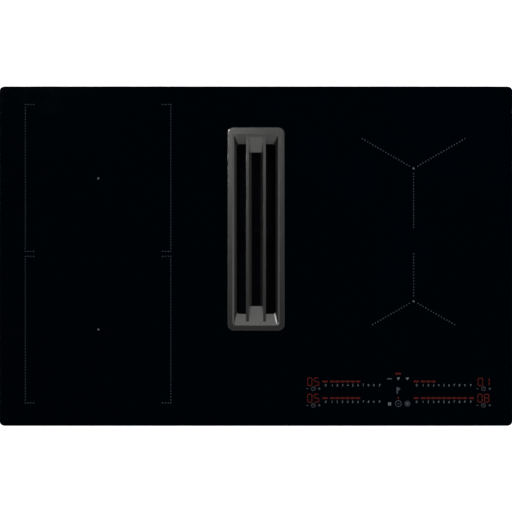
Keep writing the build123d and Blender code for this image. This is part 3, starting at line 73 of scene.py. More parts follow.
# ---------------------------------------------------------------- materials
class Surface:
    """A node material with short names for its parts."""

    def __init__(self, name):
        self.m = bpy.data.materials.new(name)
        self.m.use_nodes = True
        self.t = self.m.node_tree
        self.b = self.t.nodes["Principled BSDF"]
        self.co = self.t.nodes.new("ShaderNodeTexCoord").outputs["Object"]
        self.last = None

    def set(self, **kw):
        for k, v in kw.items():
            s = self.b.inputs[k.replace("_", " ")]
            s.default_value = (*v, 1.0) if isinstance(v, (list, tuple)) and len(v) == 3 else v
        return self

    def link(self, a, socket):
        self.t.links.new(a, self.b.inputs[socket])

    def mapped(self, scale=(1, 1, 1), rot=(0, 0, 0)):
        n = self.t.nodes.new("ShaderNodeMapping")
        n.inputs["Scale"].default_value = scale
        n.inputs["Rotation"].default_value = rot
        self.t.links.new(self.co, n.inputs["Vector"])
        return n.outputs["Vector"]

    def noise(self, scale, detail=3.0, rough=0.5, vec=None, distortion=0.0):
        n = self.t.nodes.new("ShaderNodeTexNoise")
        self.t.links.new(vec or self.co, n.inputs["Vector"])
        n.inputs["Scale"].default_value = scale
        n.inputs["Detail"].default_value = detail
        n.inputs["Roughness"].default_value = rough
        n.inputs["Distortion"].default_value = distortion
        return n.outputs[0]

    def voronoi(self, scale, feature="F1", out="Distance", vec=None, randomness=1.0):
        n = self.t.nodes.new("ShaderNodeTexVoronoi")
        n.feature = feature
        self.t.links.new(vec or self.co, n.inputs["Vector"])
        n.inputs["Scale"].default_value = scale
        n.inputs["Randomness"].default_value = randomness
        return n.outputs[out]

    def wave(self, scale, direction="X", vec=None, distortion=0.0, kind="BANDS", detail=0.0):
        n = self.t.nodes.new("ShaderNodeTexWave")
        n.wave_type = kind
        if kind == "BANDS":
            n.bands_direction = direction
        else:
            n.rings_direction = direction
        self.t.links.new(vec or self.co, n.inputs["Vector"])
        n.inputs["Scale"].default_value = scale
        n.inputs["Distortion"].default_value = distortion
        n.inputs["Detail"].default_value = detail
        return n.outputs["Fac"]

    def span(self, fac, lo, hi, a=0.0, b=1.0):
        """fac from a..b to lo..hi"""
        n = self.t.nodes.new("ShaderNodeMapRange")
        self.t.links.new(fac, n.inputs["Value"])
        n.inputs["From Min"].default_value = a
        n.inputs["From Max"].default_value = b
        n.inputs["To Min"].default_value = lo
        n.inputs["To Max"].default_value = hi
        return n.outputs["Result"]

    def blend(self, fac, a, b):
        """colour from a to b by fac; a and b are colours or sockets"""
        n = self.t.nodes.new("ShaderNodeMix")
        n.data_type = "RGBA"
        self.t.links.new(fac, n.inputs[0])
        for sock, v in ((n.inputs[6], a), (n.inputs[7], b)):
            if isinstance(v, (list, tuple)):
                sock.default_value = (*v[:3], 1.0)
            else:
                self.t.links.new(v, sock)
        return n.outputs[2]

    def op(self, kind, a, b=None):
        n = self.t.nodes.new("ShaderNodeMath")
        n.operation = kind
        for i, v in enumerate((a, b)):
            if v is None:
                continue
            if isinstance(v, (int, float)):
                n.inputs[i].default_value = v
            else:
                self.t.links.new(v, n.inputs[i])
        return n.outputs[0]

    def bump(self, height, distance, strength=1.0):
        n = self.t.nodes.new("ShaderNodeBump")
        n.inputs["Distance"].default_value = distance
        n.inputs["Strength"].default_value = strength
        self.t.links.new(height, n.inputs["Height"])
        if self.last is not None:
            self.t.links.new(self.last, n.inputs["Normal"])
        self.last = n.outputs["Normal"]
        self.link(self.last, "Normal")
        return self

    def tone(self, base, amount, scale, detail=4.0, vec=None):
        """base colour that drifts a little"""
        f = self.noise(scale, detail, 0.6, vec)
        lo = [c * (1 - amount) for c in base]
        hi = [min(1.0, c * (1 + amount)) for c in base]
        c = self.blend(self.span(f, 0, 1, 0.3, 0.7), lo, hi)
        self.link(c, "Base Color")
        return c


def moulded(name, base, rough=0.5, grain=0.00006, scale=900.0, spec=0.5):
    """injection-moulded plastic with an eroded texture"""
    s = Surface(name).set(Specular_IOR_Level=spec)
    s.tone(base, 0.10, 9.0)
    s.link(s.span(s.noise(26.0, 3.0), rough - 0.06, rough + 0.07), "Roughness")
    s.bump(s.noise(scale, 2.0, 0.6), grain, 0.6)
    s.bump(s.noise(14.0, 2.0), 0.0004, 0.12)
    return s


def rubbery(name, base, rough=0.75, cell=1500.0):
    s = Surface(name).set(Specular_IOR_Level=0.35)
    s.tone(base, 0.15, 40.0)
    s.link(s.span(s.noise(90.0, 2.0), rough - 0.08, rough + 0.08), "Roughness")
    s.bump(s.noise(cell, 2.0), 0.00005, 0.5)
    return s


def foam(name, base):
    s = Surface(name).set(Specular_IOR_Level=0.2)
    cells = s.voronoi(1100.0)
    s.link(s.blend(s.span(cells, 0, 1, 0.1, 0.6), [c * 0.5 for c in base], base), "Base Color")
    s.link(s.span(s.noise(60.0), 0.8, 0.95), "Roughness")
    s.bump(cells, 0.0002, 0.7)
    return s


def sheet_metal(name, base, rough=0.35, direction=(1, 60, 60), lines=0.00002):
    """rolled metal: fine lines along one direction"""
    s = Surface(name).set(Metallic=1.0)
    v = s.mapped(direction)
    streak = s.noise(30.0, 4.0, 0.65, v)
    s.link(s.blend(s.span(streak, 0, 1, 0.3, 0.7), [c * 0.86 for c in base], base), "Base Color")
    s.link(s.span(s.noise(18.0, 3.0), rough - 0.07, rough + 0.1), "Roughness")
    s.bump(streak, lines, 0.5)
    return s


def turned(name, base, rough=0.22):
    s = Surface(name).set(Metallic=1.0)
    s.tone(base, 0.08, 120.0)
    s.link(s.span(s.noise(300.0, 2.0), rough - 0.06, rough + 0.08), "Roughness")
    s.bump(s.wave(700.0, "Z"), 0.00001, 0.3)
    return s


def black_glass(name):
    s = Surface(name).set(IOR=1.5, Coat_Weight=0.0)
    s.link(s.blend(s.noise(7.0, 2.0), (0.00004, 0.00044, 0.00092), (0.00008, 0.00058, 0.00112)), "Base Color")
    haze = s.noise(38.0, 5.0, 0.7)
    s.link(s.span(haze, 0.018, 0.042, 0.35, 0.75), "Roughness")
    return s


def cast_grille(name):
    """satin coat on a casting: fine grain, slightly uneven gloss; the steep walls get less metal and so more diffuse
    colour, painted light that makes them read lighter
    """
    s = Surface(name)
    f = s.noise(700.0, 4.0, 0.65)
    g = s.noise(22.0, 3.0)
    fine = s.blend(s.span(f, 0, 1, 0.32, 0.68), GRILLE_DARK, GRILLE_LIGHT)
    s.link(fine, "Base Color")
    geo = s.t.nodes.new("ShaderNodeNewGeometry")
    up = s.t.nodes.new("ShaderNodeSeparateXYZ")
    s.t.links.new(geo.outputs["Normal"], up.inputs[0])
    # painted light: faces steeper than about 60 degrees fall from Metallic 0.97 towards 0.68 (reached near 75
    # degrees), so their diffuse colour makes the walls read lighter
    s.link(s.span(s.op("ABSOLUTE", up.outputs["Z"]), 0.68, 0.97, 0.25, 0.5), "Metallic")
    s.link(s.span(g, GRILLE_ROUGH - 0.015, GRILLE_ROUGH + 0.02), "Roughness")
    s.bump(s.noise(1500.0, 3.0, 0.6), 0.000012, 0.35)
    return s


GRILLE_DARK, GRILLE_LIGHT, GRILLE_ROUGH = (0.096, 0.096, 0.095), (0.121, 0.120, 0.118), 0.24


def galvanised(name):
    """zinc spangle in crystals of a centimetre or so, with a fine mottle and a gentle waviness"""
    s = Surface(name).set(Metallic=1.0)
    warped = s.mapped((1, 1, 1))
    cell = s.t.nodes.new("ShaderNodeTexVoronoi")
    cell.inputs["Scale"].default_value = 110.0
    s.t.links.new(warped, cell.inputs["Vector"])
    grey = s.t.nodes.new("ShaderNodeSeparateColor")
    s.t.links.new(cell.outputs["Color"], grey.inputs[0])
    fine = s.noise(420.0, 3.0, 0.6)
    shade = s.op("ADD", s.op("MULTIPLY", grey.outputs[0], 0.6), s.op("MULTIPLY", fine, 0.4))
    s.link(s.blend(shade, (0.285, 0.295, 0.305), (0.40, 0.412, 0.42)), "Base Color")
    s.link(s.span(grey.outputs[1], 0.30, 0.44), "Roughness")
    s.bump(s.noise(60.0, 3.0), 0.0002, 0.15)
    s.bump(grey.outputs[2], 0.00003, 0.4)
    return s


def mica_paper(name, base):
    s = Surface(name).set(Specular_IOR_Level=0.6)
    flake = s.voronoi(260.0, out="Color")
    s.link(s.blend(s.noise(90.0, 4.0), [c * 0.7 for c in base], base), "Base Color")
    s.link(s.span(s.noise(300.0), 0.25, 0.6), "Roughness")
    g = s.t.nodes.new("ShaderNodeSeparateColor")
    s.t.links.new(flake, g.inputs[0])
    s.bump(g.outputs[0], 0.00004, 0.4)
    return s


def litz(name, base):
    """bundles of enamelled wire laid in rings"""
    s = Surface(name).set(Metallic=0.85)
    strands = s.noise(2200.0, 2.0, 0.5)
    s.link(s.blend(strands, [c * 0.55 for c in base], base), "Base Color")
    s.link(s.span(s.noise(300.0), 0.3, 0.5), "Roughness")
    s.bump(strands, 0.0001, 0.6)
    return s


def board(name, base):
    """solder mask over copper tracks"""
    s = Surface(name).set(Specular_IOR_Level=0.55)
    tracks = s.voronoi(110.0, feature="DISTANCE_TO_EDGE", out="Distance")
    mask = s.span(tracks, 1, 0, 0.02, 0.05)
    s.link(s.blend(mask, base, [min(1, c * 1.8 + 0.01) for c in base]), "Base Color")
    s.link(s.span(s.noise(50.0), 0.3, 0.42), "Roughness")
    s.bump(mask, 0.00003, 0.5)
    return s


def ceramic_dark(name, base):
    s = Surface(name).set(Specular_IOR_Level=0.3)
    s.tone(base, 0.25, 400.0)
    s.link(s.span(s.noise(200.0), 0.6, 0.8), "Roughness")
    s.bump(s.noise(900.0, 3.0), 0.00008, 0.5)
    return s


def enamel(name, base, rough=0.45, spec=0.45):
    """stoved enamel with slight orange peel"""
    s = Surface(name).set(Specular_IOR_Level=spec)
    s.tone(base, 0.2, 30.0)
    s.link(s.span(s.noise(40.0), rough - 0.06, rough + 0.08), "Roughness")
    s.bump(s.noise(380.0, 2.0), 0.00006, 0.35)
    return s


def filter_enamel(name, base):
    """soft black enamel; above the frame's rim, where the carrying grip sits nearer the lamps, the colour is
    darkened to 0.45 of the base as painted shade
    """
    s = enamel(name, base, 0.66, 0.015)
    sep = s.t.nodes.new("ShaderNodeSeparateXYZ")
    s.t.links.new(s.co, sep.inputs[0])
    c = s.tone(base, 0.2, 30.0)
    # painted shade: from z -0.0605 to -0.0590 upward the colour falls to 0.45 of the base, so the grip reads as dark
    # as the lower frame
    s.link(s.blend(s.span(sep.outputs["Z"], 0, 1, -0.0605, -0.0590), c, [v * 0.45 for v in base]), "Base Color")
    return s


def expanded_metal(name, base):
    s = Surface(name).set(Metallic=1.0)
    s.tone(base, 0.18, 160.0)
    s.link(s.span(s.noise(240.0), 0.3, 0.5), "Roughness")
    s.bump(s.noise(900.0, 2.0), 0.00003, 0.4)
    return s


def lit(name, color, strength):
    """a glowing segment seen through dark glass"""
    s = Surface(name).set(Roughness=0.03)
    f = s.noise(500.0, 2.0)
    s.link(s.blend(f, [c * 0.9 for c in color], color), "Emission Color")
    s.set(Emission_Strength=strength, Base_Color=(0.01, 0.002, 0.002))
    return s


def printed(name, color):
    """ceramic print fired into the glass, under the same gloss"""
    s = Surface(name).set(IOR=1.5)
    s.link(s.blend(s.noise(1800.0, 2.0), [c * 0.85 for c in color], [min(1, c * 1.12) for c in color]), "Base Color")
    s.link(s.span(s.noise(38.0, 5.0, 0.7), 0.018, 0.042, 0.35, 0.75), "Roughness")
    return s


C = COLOR_OF
MAT = {
    "black_glass": black_glass("black_glass"),
    "foam_seal": foam("foam_seal", C["foam_seal"]),
    "silicone": rubbery("silicone", C["silicone"], 0.5),
    "grille_metal": cast_grille("grille_metal"),
    "pad_silicone": rubbery("pad_silicone", C["pad_silicone"]),
    "well_plastic": moulded("well_plastic", (0.0034, 0.0042, 0.0068), 0.68, spec=0.06),
    "filter_black": filter_enamel("filter_black", (0.0022, 0.0027, 0.0044)),
    "filter_mesh": expanded_metal("filter_mesh", (0.024, 0.024, 0.025)),
    "zinc_sheet": galvanised("zinc_sheet"),
    "spring_steel": sheet_metal("spring_steel", (0.34, 0.34, 0.345), 0.25, (60, 60, 1)),
    "mica": mica_paper("mica", C["mica"]),
    "litz_copper": litz("litz_copper", C["litz_copper"]),
    "former_plastic": moulded("former_plastic", C["former_plastic"]),
    "ferrite": ceramic_dark("ferrite", C["ferrite"]),
    "sensor_silicone": rubbery("sensor_silicone", C["sensor_silicone"], 0.6),
    "aluminium_sheet": sheet_metal("aluminium_sheet", C["aluminium_sheet"], 0.3),
    "circuit_board": board("circuit_board", C["circuit_board"]),
    "heatsink_aluminium": sheet_metal("heatsink_aluminium", C["heatsink_aluminium"], 0.35, (60, 1, 60)),
    "component_plastic": moulded("component_plastic", C["component_plastic"], 0.4),
    "fan_plastic": moulded("fan_plastic", C["fan_plastic"]),
    "rotor_plastic": moulded("rotor_plastic", C["rotor_plastic"], 0.42),
    "carrier_plastic": moulded("carrier_plastic", C["carrier_plastic"], 0.5),
    "display_red": moulded("display_red", C["display_red"], 0.15, 0.00001),
    "box_plastic": moulded("box_plastic", (0.20, 0.205, 0.21), 0.48, 0.00008, 700.0),
    "terminal_plastic": moulded("terminal_plastic", C["terminal_plastic"], 0.4, 0.00002),
    "gland_nylon": moulded("gland_nylon", C["gland_nylon"], 0.42, 0.00003),
    "tub_plastic": moulded("tub_plastic", (0.022, 0.022, 0.0235), 0.46, 0.00010, 620.0),
    "scroll_plastic": moulded("scroll_plastic", C["scroll_plastic"], 0.45),
    "impeller_plastic": moulded("impeller_plastic", C["impeller_plastic"], 0.42, 0.00004),
    "motor_steel": enamel("motor_steel", C["motor_steel"], 0.35),
    "bearing_steel": turned("bearing_steel", (0.68, 0.68, 0.68), 0.16),
    "bush_rubber": rubbery("bush_rubber", C["bush_rubber"]),
    "duct_plastic": moulded("duct_plastic", (0.026, 0.026, 0.028), 0.42, 0.00005, 800.0),
    "flap_plastic": moulded("flap_plastic", (0.16, 0.16, 0.165), 0.45, 0.00005),
    "screw_steel": turned("screw_steel", (0.58, 0.58, 0.56), 0.3),
}
for node, obj in NODES.items():
    mat = MAT[SLOT_OF[node]].m
    if not obj.data.materials:
        obj.data.materials.append(mat)
    for slot in obj.material_slots:
        slot.material = mat

# the pane's edge and its small bevel are ground dull, not polished like the face
ground_edge = Surface("ground_edge").set(Specular_IOR_Level=0.1)
ground_edge.tone((0.0010, 0.0014, 0.0018), 0.25, 60.0)
ground_edge.link(ground_edge.span(ground_edge.noise(420.0, 2.0), 0.46, 0.58), "Roughness")
ground_edge.bump(ground_edge.noise(1400.0, 2.0), 0.00002, 0.4)
pane = NODES["glass_panel"].data
pane.materials.append(ground_edge.m)
for face in pane.polygons:
    if abs(face.normal.z) < 0.9:
        face.material_index = len(pane.materials) - 1


# ------------------------------------------------------------- flat prints
class Flat:
    """Thin raised prints: 2-D faces with a small thickness."""

    def __init__(self):
        self.v, self.f = [], []

    def poly(self, pts):
        n = len(self.v)
        self.v += [tuple(p) for p in pts]
        self.f.append(list(range(n, n + len(pts))))

    def quads(self, a, b, closed=False):
        """a strip between two equal rows of points"""
        n, k = len(self.v), len(a)
        self.v += [tuple(p) for p in a] + [tuple(p) for p in b]
        for i in range(k if closed else k - 1):
            j = (i + 1) % k
            self.f.append([n + i, n + j, n + k + j, n + k + i])

    def disc(self, x, y, r, n=14):
        self.poly([(x + r * math.cos(math.tau * i / n), y + r * math.sin(math.tau * i / n)) for i in range(n)])

    def ring(self, x, y, r, w, n=28, a0=0.0, a1=360.0):
        closed = abs(a1 - a0) >= 359.9
        m = n if closed else n + 1
        ang = [math.radians(a0 + (a1 - a0) * i / n) for i in range(m)]
        inner = [(x + (r - w) * math.cos(t), y + (r - w) * math.sin(t)) for t in ang]
        outer = [(x + r * math.cos(t), y + r * math.sin(t)) for t in ang]
        self.quads(outer, inner, closed)

    def line(self, x0, y0, x1, y1, w):
        """a bar with slightly cut corners"""
        d = Vector((x1 - x0, y1 - y0))
        d.normalize()
        n = Vector((-d.y, d.x))
        c = w * 0.22
        h = w / 2
        a, b = Vector((x0, y0)), Vector((x1, y1))
        self.poly([a - n * (h - c), a + d * c - n * h, b - d * c - n * h, b - n * (h - c),
                   b + n * (h - c), b - d * c + n * h, a + d * c + n * h, a + n * (h - c)])

    def seg(self, x0, y0, x1, y1, w):
        """a seven-segment bar with pointed ends"""
        a, b = Vector((x0, y0)), Vector((x1, y1))
        d = (b - a).normalized()
        n = Vector((-d.y, d.x))
        h = w / 2
        self.poly([a, a + d * h - n * h, b - d * h - n * h, b, b - d * h + n * h, a + d * h + n * h])

    def make(self, name, mat, z0, z1, body="root"):
        edges = {}
        for f in self.f:
            for i in range(len(f)):
                a, b = f[i], f[(i + 1) % len(f)]
                edges[(a, b)] = edges.get((a, b), 0) + 1
        # every face counter-clockwise
        faces = []
        for f in self.f:
            area = sum(self.v[f[i]][0] * self.v[f[(i + 1) % len(f)]][1] - self.v[f[(i + 1) % len(f)]][0] * self.v[f[i]][1]
                       for i in range(len(f)))
            faces.append(f if area > 0 else f[::-1])
        edges = set()
        for f in faces:
            for i in range(len(f)):
                edges.add((f[i], f[(i + 1) % len(f)]))
        n = len(self.v)
        verts = [(x, y, z1) for x, y in self.v] + [(x, y, z0) for x, y in self.v]
        out = [tuple(f) for f in faces] + [tuple(n + i for i in f[::-1]) for f in faces]
        out += [(b, a, n + a, n + b) for a, b in edges if (b, a) not in edges]
        me = bpy.data.meshes.new(name)
        me.from_pydata(verts, [], out)
        me.update()
        ob = bpy.data.objects.new(name, me)
        bpy.context.scene.collection.objects.link(ob)
        me.materials.append(mat)
        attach(ob, body)
        return ob


def glyph_table(chars):
    """outlines of plain characters from the built-in font, one unit high, centred in x"""
    table = {}
    for ch in chars:
        cu = bpy.data.curves.new("glyph", "FONT")
        cu.body = ch
        cu.resolution_u = 3
        cu.offset = 0.004
        ob = bpy.data.objects.new("glyph", cu)
        bpy.context.scene.collection.objects.link(ob)
        bpy.context.view_layer.update()
        me = bpy.data.meshes.new_from_object(ob.evaluated_get(bpy.context.evaluated_depsgraph_get()))
        vs = [(v.co.x, v.co.y) for v in me.vertices]
        fs = [list(p.vertices) for p in me.polygons]
        x0, x1 = min(v[0] for v in vs), max(v[0] for v in vs)
        y0, y1 = min(v[1] for v in vs), max(v[1] for v in vs)
        h = y1 - y0
        table[ch] = ([((x - (x0 + x1) / 2) / h, (y - (y0 + y1) / 2) / h) for x, y in vs], fs)
        bpy.data.objects.remove(ob)
        bpy.data.curves.remove(cu)
        bpy.data.meshes.remove(me)
    return table


GLYPHS = glyph_table("0123456789")


def glyph(flat, ch, px, py, height):
    vs, fs = GLYPHS[ch]
    x, y = at(px, py)
    n = len(flat.v)
    flat.v += [(x + a * height, y + b * height) for a, b in vs]
    flat.f += [[n + i for i in f] for f in fs]


def pennant(flat, px, py, height):
    """plain boost sign: a post with a pennant"""
    x, y = at(px, py)
    w, h = height * 0.19, height / 2
    x0 = x - height * 0.27
    flat.poly([(x0, y - h), (x0 + w, y - h), (x0 + w, y + h), (x0, y + h)])
    x1 = x0 + w * 1.12
    flat.poly([(x1, y + h), (x1, y - h * 0.16), (x0 + height * 0.62, y + h * 0.42)])


PRINT_Z0, PRINT_Z1 = Z_TOP, Z_TOP + 0.00004

print_grey = printed("print_grey", (0.0205, 0.0233, 0.0272)).m
print_arm = printed("print_arm", (0.0268, 0.0243, 0.0302)).m
print_mid = printed("print_mid", (0.0480, 0.0480, 0.0555)).m
print_dim = printed("print_dim", (0.0293, 0.0317, 0.0370)).m
print_white = printed("print_white", (0.0742, 0.0741, 0.0833)).m
red_digit = lit("red_digit", (1.0, 0.136, 0.112), 0.0515).m
red_bar = lit("red_bar", (1.0, 0.118, 0.096), 0.047).m

DOT = 0.00098

# bracket zones on the left
left = Flat()
corner_x = (25.40, 27.90, 30.70, 33.65, 162.50, 165.40, 168.30, 170.75)
for y0, y1 in ((104.53, 251.30), (256.36, 402.87)):
    n = 49
    for i in range(n + 1):
        y = y0 + (y1 - y0) * i / n
        for x in (25.36, 170.79):
            left.disc(*at(x, y), DOT)
    for y in (y0, y1):
        for x in corner_x[1:-1]:
            left.disc(*at(x, y), DOT)
left.make("zone_marks_left", print_grey, PRINT_Z0, PRINT_Z1)

# three-armed zones on the right
right = Flat()


ARM_DOT = 0.00096


def arm(x0, y0, x1, y1, n, mirror=None):
    for i in range(n):
        x, y = x0 + (x1 - x0) * i / (n - 1), y0 + (y1 - y0) * i / (n - 1)
        right.disc(*at(x, y), ARM_DOT)
        if mirror is not None:
            right.disc(*at(2 * mirror - x, y), ARM_DOT)


arm(413.60, 173.54, 413.60, 227.51, 19)
arm(409.36, 166.05, 362.43, 138.74, 19, 413.59)
arm(413.63, 295.88, 413.63, 253.82, 15)
arm(409.26, 303.49, 372.68, 324.59, 15, 413.63)
right.make("zone_marks_right", print_arm, PRINT_Z0, PRINT_Z1)

centres = Flat()
for x, y, r in ((98.30, 178.42, 0.00160), (98.31, 329.48, 0.00160), (413.59, 168.48, 0.00158), (413.63, 301.30, 0.00158)):
    centres.disc(*at(x, y), r, 20)
centres.make("zone_centres", print_mid, PRINT_Z0, PRINT_Z1)

# touch scales: numbers, minus, clock and plus
legend = Flat()
NUM_H = 0.0035
LEFT_X = (325.6, 332.2, 337.3, 342.5, 347.7, 352.8, 358.1, 363.4, 368.5, 373.7, 379.8)
RIGHT_X = (416.6, 423.1, 428.3, 433.5, 438.6, 443.9, 449.0, 454.3, 459.5, 464.8, 471.0)
for xs in (LEFT_X, RIGHT_X):
    for y in (385.2, 401.8):
        for ch, x in zip("0123456789", xs):
            glyph(legend, ch, x, y, NUM_H)
        pennant(legend, xs[-1], y, NUM_H)
dim = Flat()
for xm, xc, xp in ((307.4, 313.4, 319.2), (477.4, 483.5, 489.7)):
    for y in (388.7, 405.3):
        x, yy = at(xm, y)
        dim.line(x - 0.0017, yy, x + 0.0017, yy, 0.00080)
        x, yy = at(xp, y)
        dim.line(x - 0.0019, yy, x + 0.0019, yy, 0.00105)
        dim.line(x, yy + 0.00054, x, yy + 0.0019, 0.00105)
        dim.line(x, yy - 0.0019, x, yy - 0.00054, 0.00105)
        x, yy = at(xc, y)
        dim.ring(x, yy, 0.0033, 0.00070)
        dim.line(x, yy - 0.0002, x, yy + 0.0019, 0.0006)
        dim.line(x + 0.0003, yy - 0.0002, x + 0.0015, yy - 0.0002, 0.0006)
# middle column of symbols
x, y = at(389.5, 378.8)
dim.line(x - 0.0036, y, x + 0.0036, y, 0.0019)
for px in (398.4, 407.4):
    x, y = at(px, 378.9)
    legend.poly([(x - 0.0024, y + 0.0021), (x, y - 0.0021), (x + 0.0024, y + 0.0021)])
pennant(dim, 398.3, 390.3, 0.0098)
x, y = at(389.6, 403.9)
legend.poly([(x - 0.0022, y + 0.00245), (x - 0.0022, y - 0.00245), (x - 0.00025, y - 0.00245), (x - 0.00025, y + 0.00245)])
legend.poly([(x + 0.00025, y + 0.00245), (x + 0.00025, y - 0.00245), (x + 0.0022, y - 0.00245), (x + 0.0022, y + 0.00245)])
x, y = at(398.4, 403.6)
dim.ring(x, y, 0.0049, 0.00085, 40)
dim.line(x - 0.0017, y, x + 0.0017, y, 0.0009)
x, y = at(407.4, 403.7)
dim.ring(x, y, 0.0042, 0.0008, 36)
dim.disc(x, y, 0.0024, 20)
legend.make("touch_legends", print_white, PRINT_Z0, PRINT_Z1)
dim.make("touch_symbols", print_dim, PRINT_Z0, PRINT_Z1)

# seven-segment digits
SEGS = {"0": "abcdef", "1": "bc", "5": "afgcd", "8": "abcdefg"}
digits = Flat()


def digit(ch, px0, px1, py0, py1):
    """one digit in the pixel box, strokes inside its edge"""
    x0, y0 = at(px0, py1)
    x1, y1 = at(px1, py0)
    w = 0.00142
    h = w / 2
    xa, xb, ya, yb = x0 + h, x1 - h, y0 + h, y1 - h
    ym = (ya + yb) / 2
    g = 0.00022
    bars = {"a": (xa + g, yb, xb - g, yb), "g": (xa + g, ym, xb - g, ym), "d": (xa + g, ya, xb - g, ya),
            "f": (xa, ym + g, xa, yb - g), "b": (xb, ym + g, xb, yb - g),
            "e": (xa, ya + g, xa, ym - g), "c": (xb, ya + g, xb, ym - g)}
    for s in SEGS[ch]:
        digits.seg(*bars[s], w)


for top, bottom in ((377.4, 386.0), (393.8, 402.6)):
    digit("0", 307.2, 312.4, top, bottom)
    digit("5", 313.8, 319.2, top, bottom)
digit("0", 477.7, 483.1, 377.7, 386.1)
digit("1", 484.0, 489.6, 377.7, 386.1)
digit("0", 477.4, 482.6, 393.8, 402.6)
digit("8", 484.0, 489.3, 393.8, 402.6)
digits.make("display_digits", red_digit, PRINT_Z0, PRINT_Z1)

# red level bars
bars = Flat()


def level(px0, px1, py, h=0.0028):
    x0, y = at(px0, py)
    x1, _ = at(px1, py)
    bars.line(x0, y, x1, y, h)


def scale(xs, first, count, py, boost=False):
    level(first[0], first[1], py)
    for x in xs[1:count + 1]:
        level(x - 2.27, x + 2.27, py)
    if boost:
        level(469.1, 474.1, py)


scale(LEFT_X, (322.3, 327.7), 6, 381.5)
scale(LEFT_X, (322.3, 327.7), 6, 398.1)
scale(RIGHT_X, (413.7, 418.8), 3, 381.5)
scale(RIGHT_X, (413.7, 418.8), 9, 398.1, True)
level(395.2, 401.1, 373.7)
x, y = at(398.2, 398.0)
bars.disc(x, y, 0.0015, 20)
bars.make("level_bars", red_bar, PRINT_Z0, PRINT_Z1)


# --------------------------------------------------- expanded metal filters
def lattice(name, node, body):
    """two offset sheets of expanded metal in place of the plain plate"""
    lo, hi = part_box(node)
    verts, faces = [], []
    dy, dz = 0.0048, 0.0024          # half a diamond
    ny, nz = int((hi.y - lo.y) / dy), int((hi.z - lo.z) / dz)
    sy, sz = (hi.y - lo.y) / ny, (hi.z - lo.z) / nz
    w, t = 0.00045, 0.00045

    def strand(p, q, x):
        d = (q - p).normalized()
        n = Vector((0, -d.z, d.y)) * w
        e = Vector((t, 0, 0))
        k = len(verts)
        for base, tilt in ((p, e * 0.6), (q, e * -0.6)):
            for a, b in ((-1, -1), (1, -1), (1, 1), (-1, 1)):
                verts.append(tuple(Vector((x, 0, 0)) + base + n * a + e * b * 0.5 + tilt))
        faces.extend([(k, k + 1, k + 5, k + 4), (k + 1, k + 2, k + 6, k + 5), (k + 2, k + 3, k + 7, k + 6),
                      (k + 3, k, k + 4, k + 7), (k + 3, k + 2, k + 1, k), (k + 4, k + 5, k + 6, k + 7)])

    for layer, x in enumerate((lo.x + 0.0009, hi.x - 0.0009)):
        for i in range(ny + 1):
            for j in range(nz + 1):
                if (i + j + layer) % 2:
                    continue
                p = Vector((0, lo.y + i * sy, lo.z + j * sz))
                for a, b in ((1, 1), (1, -1)):
                    if i + a <= ny and 0 <= j + b <= nz:
                        strand(p, Vector((0, lo.y + (i + a) * sy, lo.z + (j + b) * sz)), x)
    me = bpy.data.meshes.new(name)
    me.from_pydata(verts, [], faces)
    me.update()
    ob = bpy.data.objects.new(name, me)
    bpy.context.scene.collection.objects.link(ob)
    me.materials.append(MAT["filter_mesh"].m)
    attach(ob, body)
    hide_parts(node)
    return ob


lattice("expanded_mesh_left", "filter_mesh_left", "filter")
lattice("expanded_mesh_right", "filter_mesh_right", "filter")


# ------------------------------------------------------------ coil windings
def winding(name, node, square):
    """turns of litz wire, one closed ring after another"""
    lo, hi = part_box(node)
    cx, cy, cz = (lo + hi) / 2
    r_out, r_in = (hi.x - lo.x) / 2, 0.019
    height = hi.z - lo.z
    pitch = 0.0036
    turns = int((r_out - r_in) / pitch)
    pitch = (r_out - r_in) / turns
    a, b = pitch * 0.47, height / 2
    sides, around = 8, 96
    verts, faces = [], []
    corner = 0.030
    for k in range(turns):
        r = r_in + pitch * (k + 0.5)
        path = []
        c = min(r, corner + (r_out - r) * 0.4) if square else r
        for i in range(around):
            t = math.tau * (i + 0.5) / around
            if not square:
                path.append((math.cos(t) * r, math.sin(t) * r, math.cos(t), math.sin(t)))
                continue
            # rounded square: support of a square of half side r - c, then out by c
            dx, dy = math.cos(t), math.sin(t)
            q = r - c
            m = max(abs(dx), abs(dy))
            px, py = dx / m * r, dy / m * r
            ox, oy = max(-q, min(q, px)), max(-q, min(q, py))
            ex, ey = px - ox, py - oy
            if abs(px) > q and abs(py) > q:
                l = math.hypot(ex, ey)
                ex, ey = ex / l, ey / l
            elif abs(px) > abs(py):
                ex, ey = math.copysign(1, px), 0.0
            else:
                ex, ey = 0.0, math.copysign(1, py)
            path.append((ox + ex * c, oy + ey * c, ex, ey))
        n = len(verts)
        for x, y, ex, ey in path:
            for s in range(sides):
                u = math.tau * s / sides
                verts.append((cx + x + ex * math.cos(u) * a, cy + y + ey * math.cos(u) * a, cz + math.sin(u) * b))
        for i in range(around):
            j = (i + 1) % around
            for s in range(sides):
                q = (s + 1) % sides
                faces.append((n + i * sides + s, n + j * sides + s, n + j * sides + q, n + i * sides + q))
    me = bpy.data.meshes.new(name)
    me.from_pydata(verts, [], faces)
    me.update()
    for p in me.polygons:
        p.use_smooth = True
    ob = bpy.data.objects.new(name, me)
    bpy.context.scene.collection.objects.link(ob)
    me.materials.append(MAT["litz_copper"].m)
    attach(ob, "root")
    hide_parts(node)


for zone, square in (("rear_left", True), ("front_left", True), ("rear_right", False), ("front_right", False)):
    winding("litz_turns_" + zone, "coil_winding_" + zone, square)

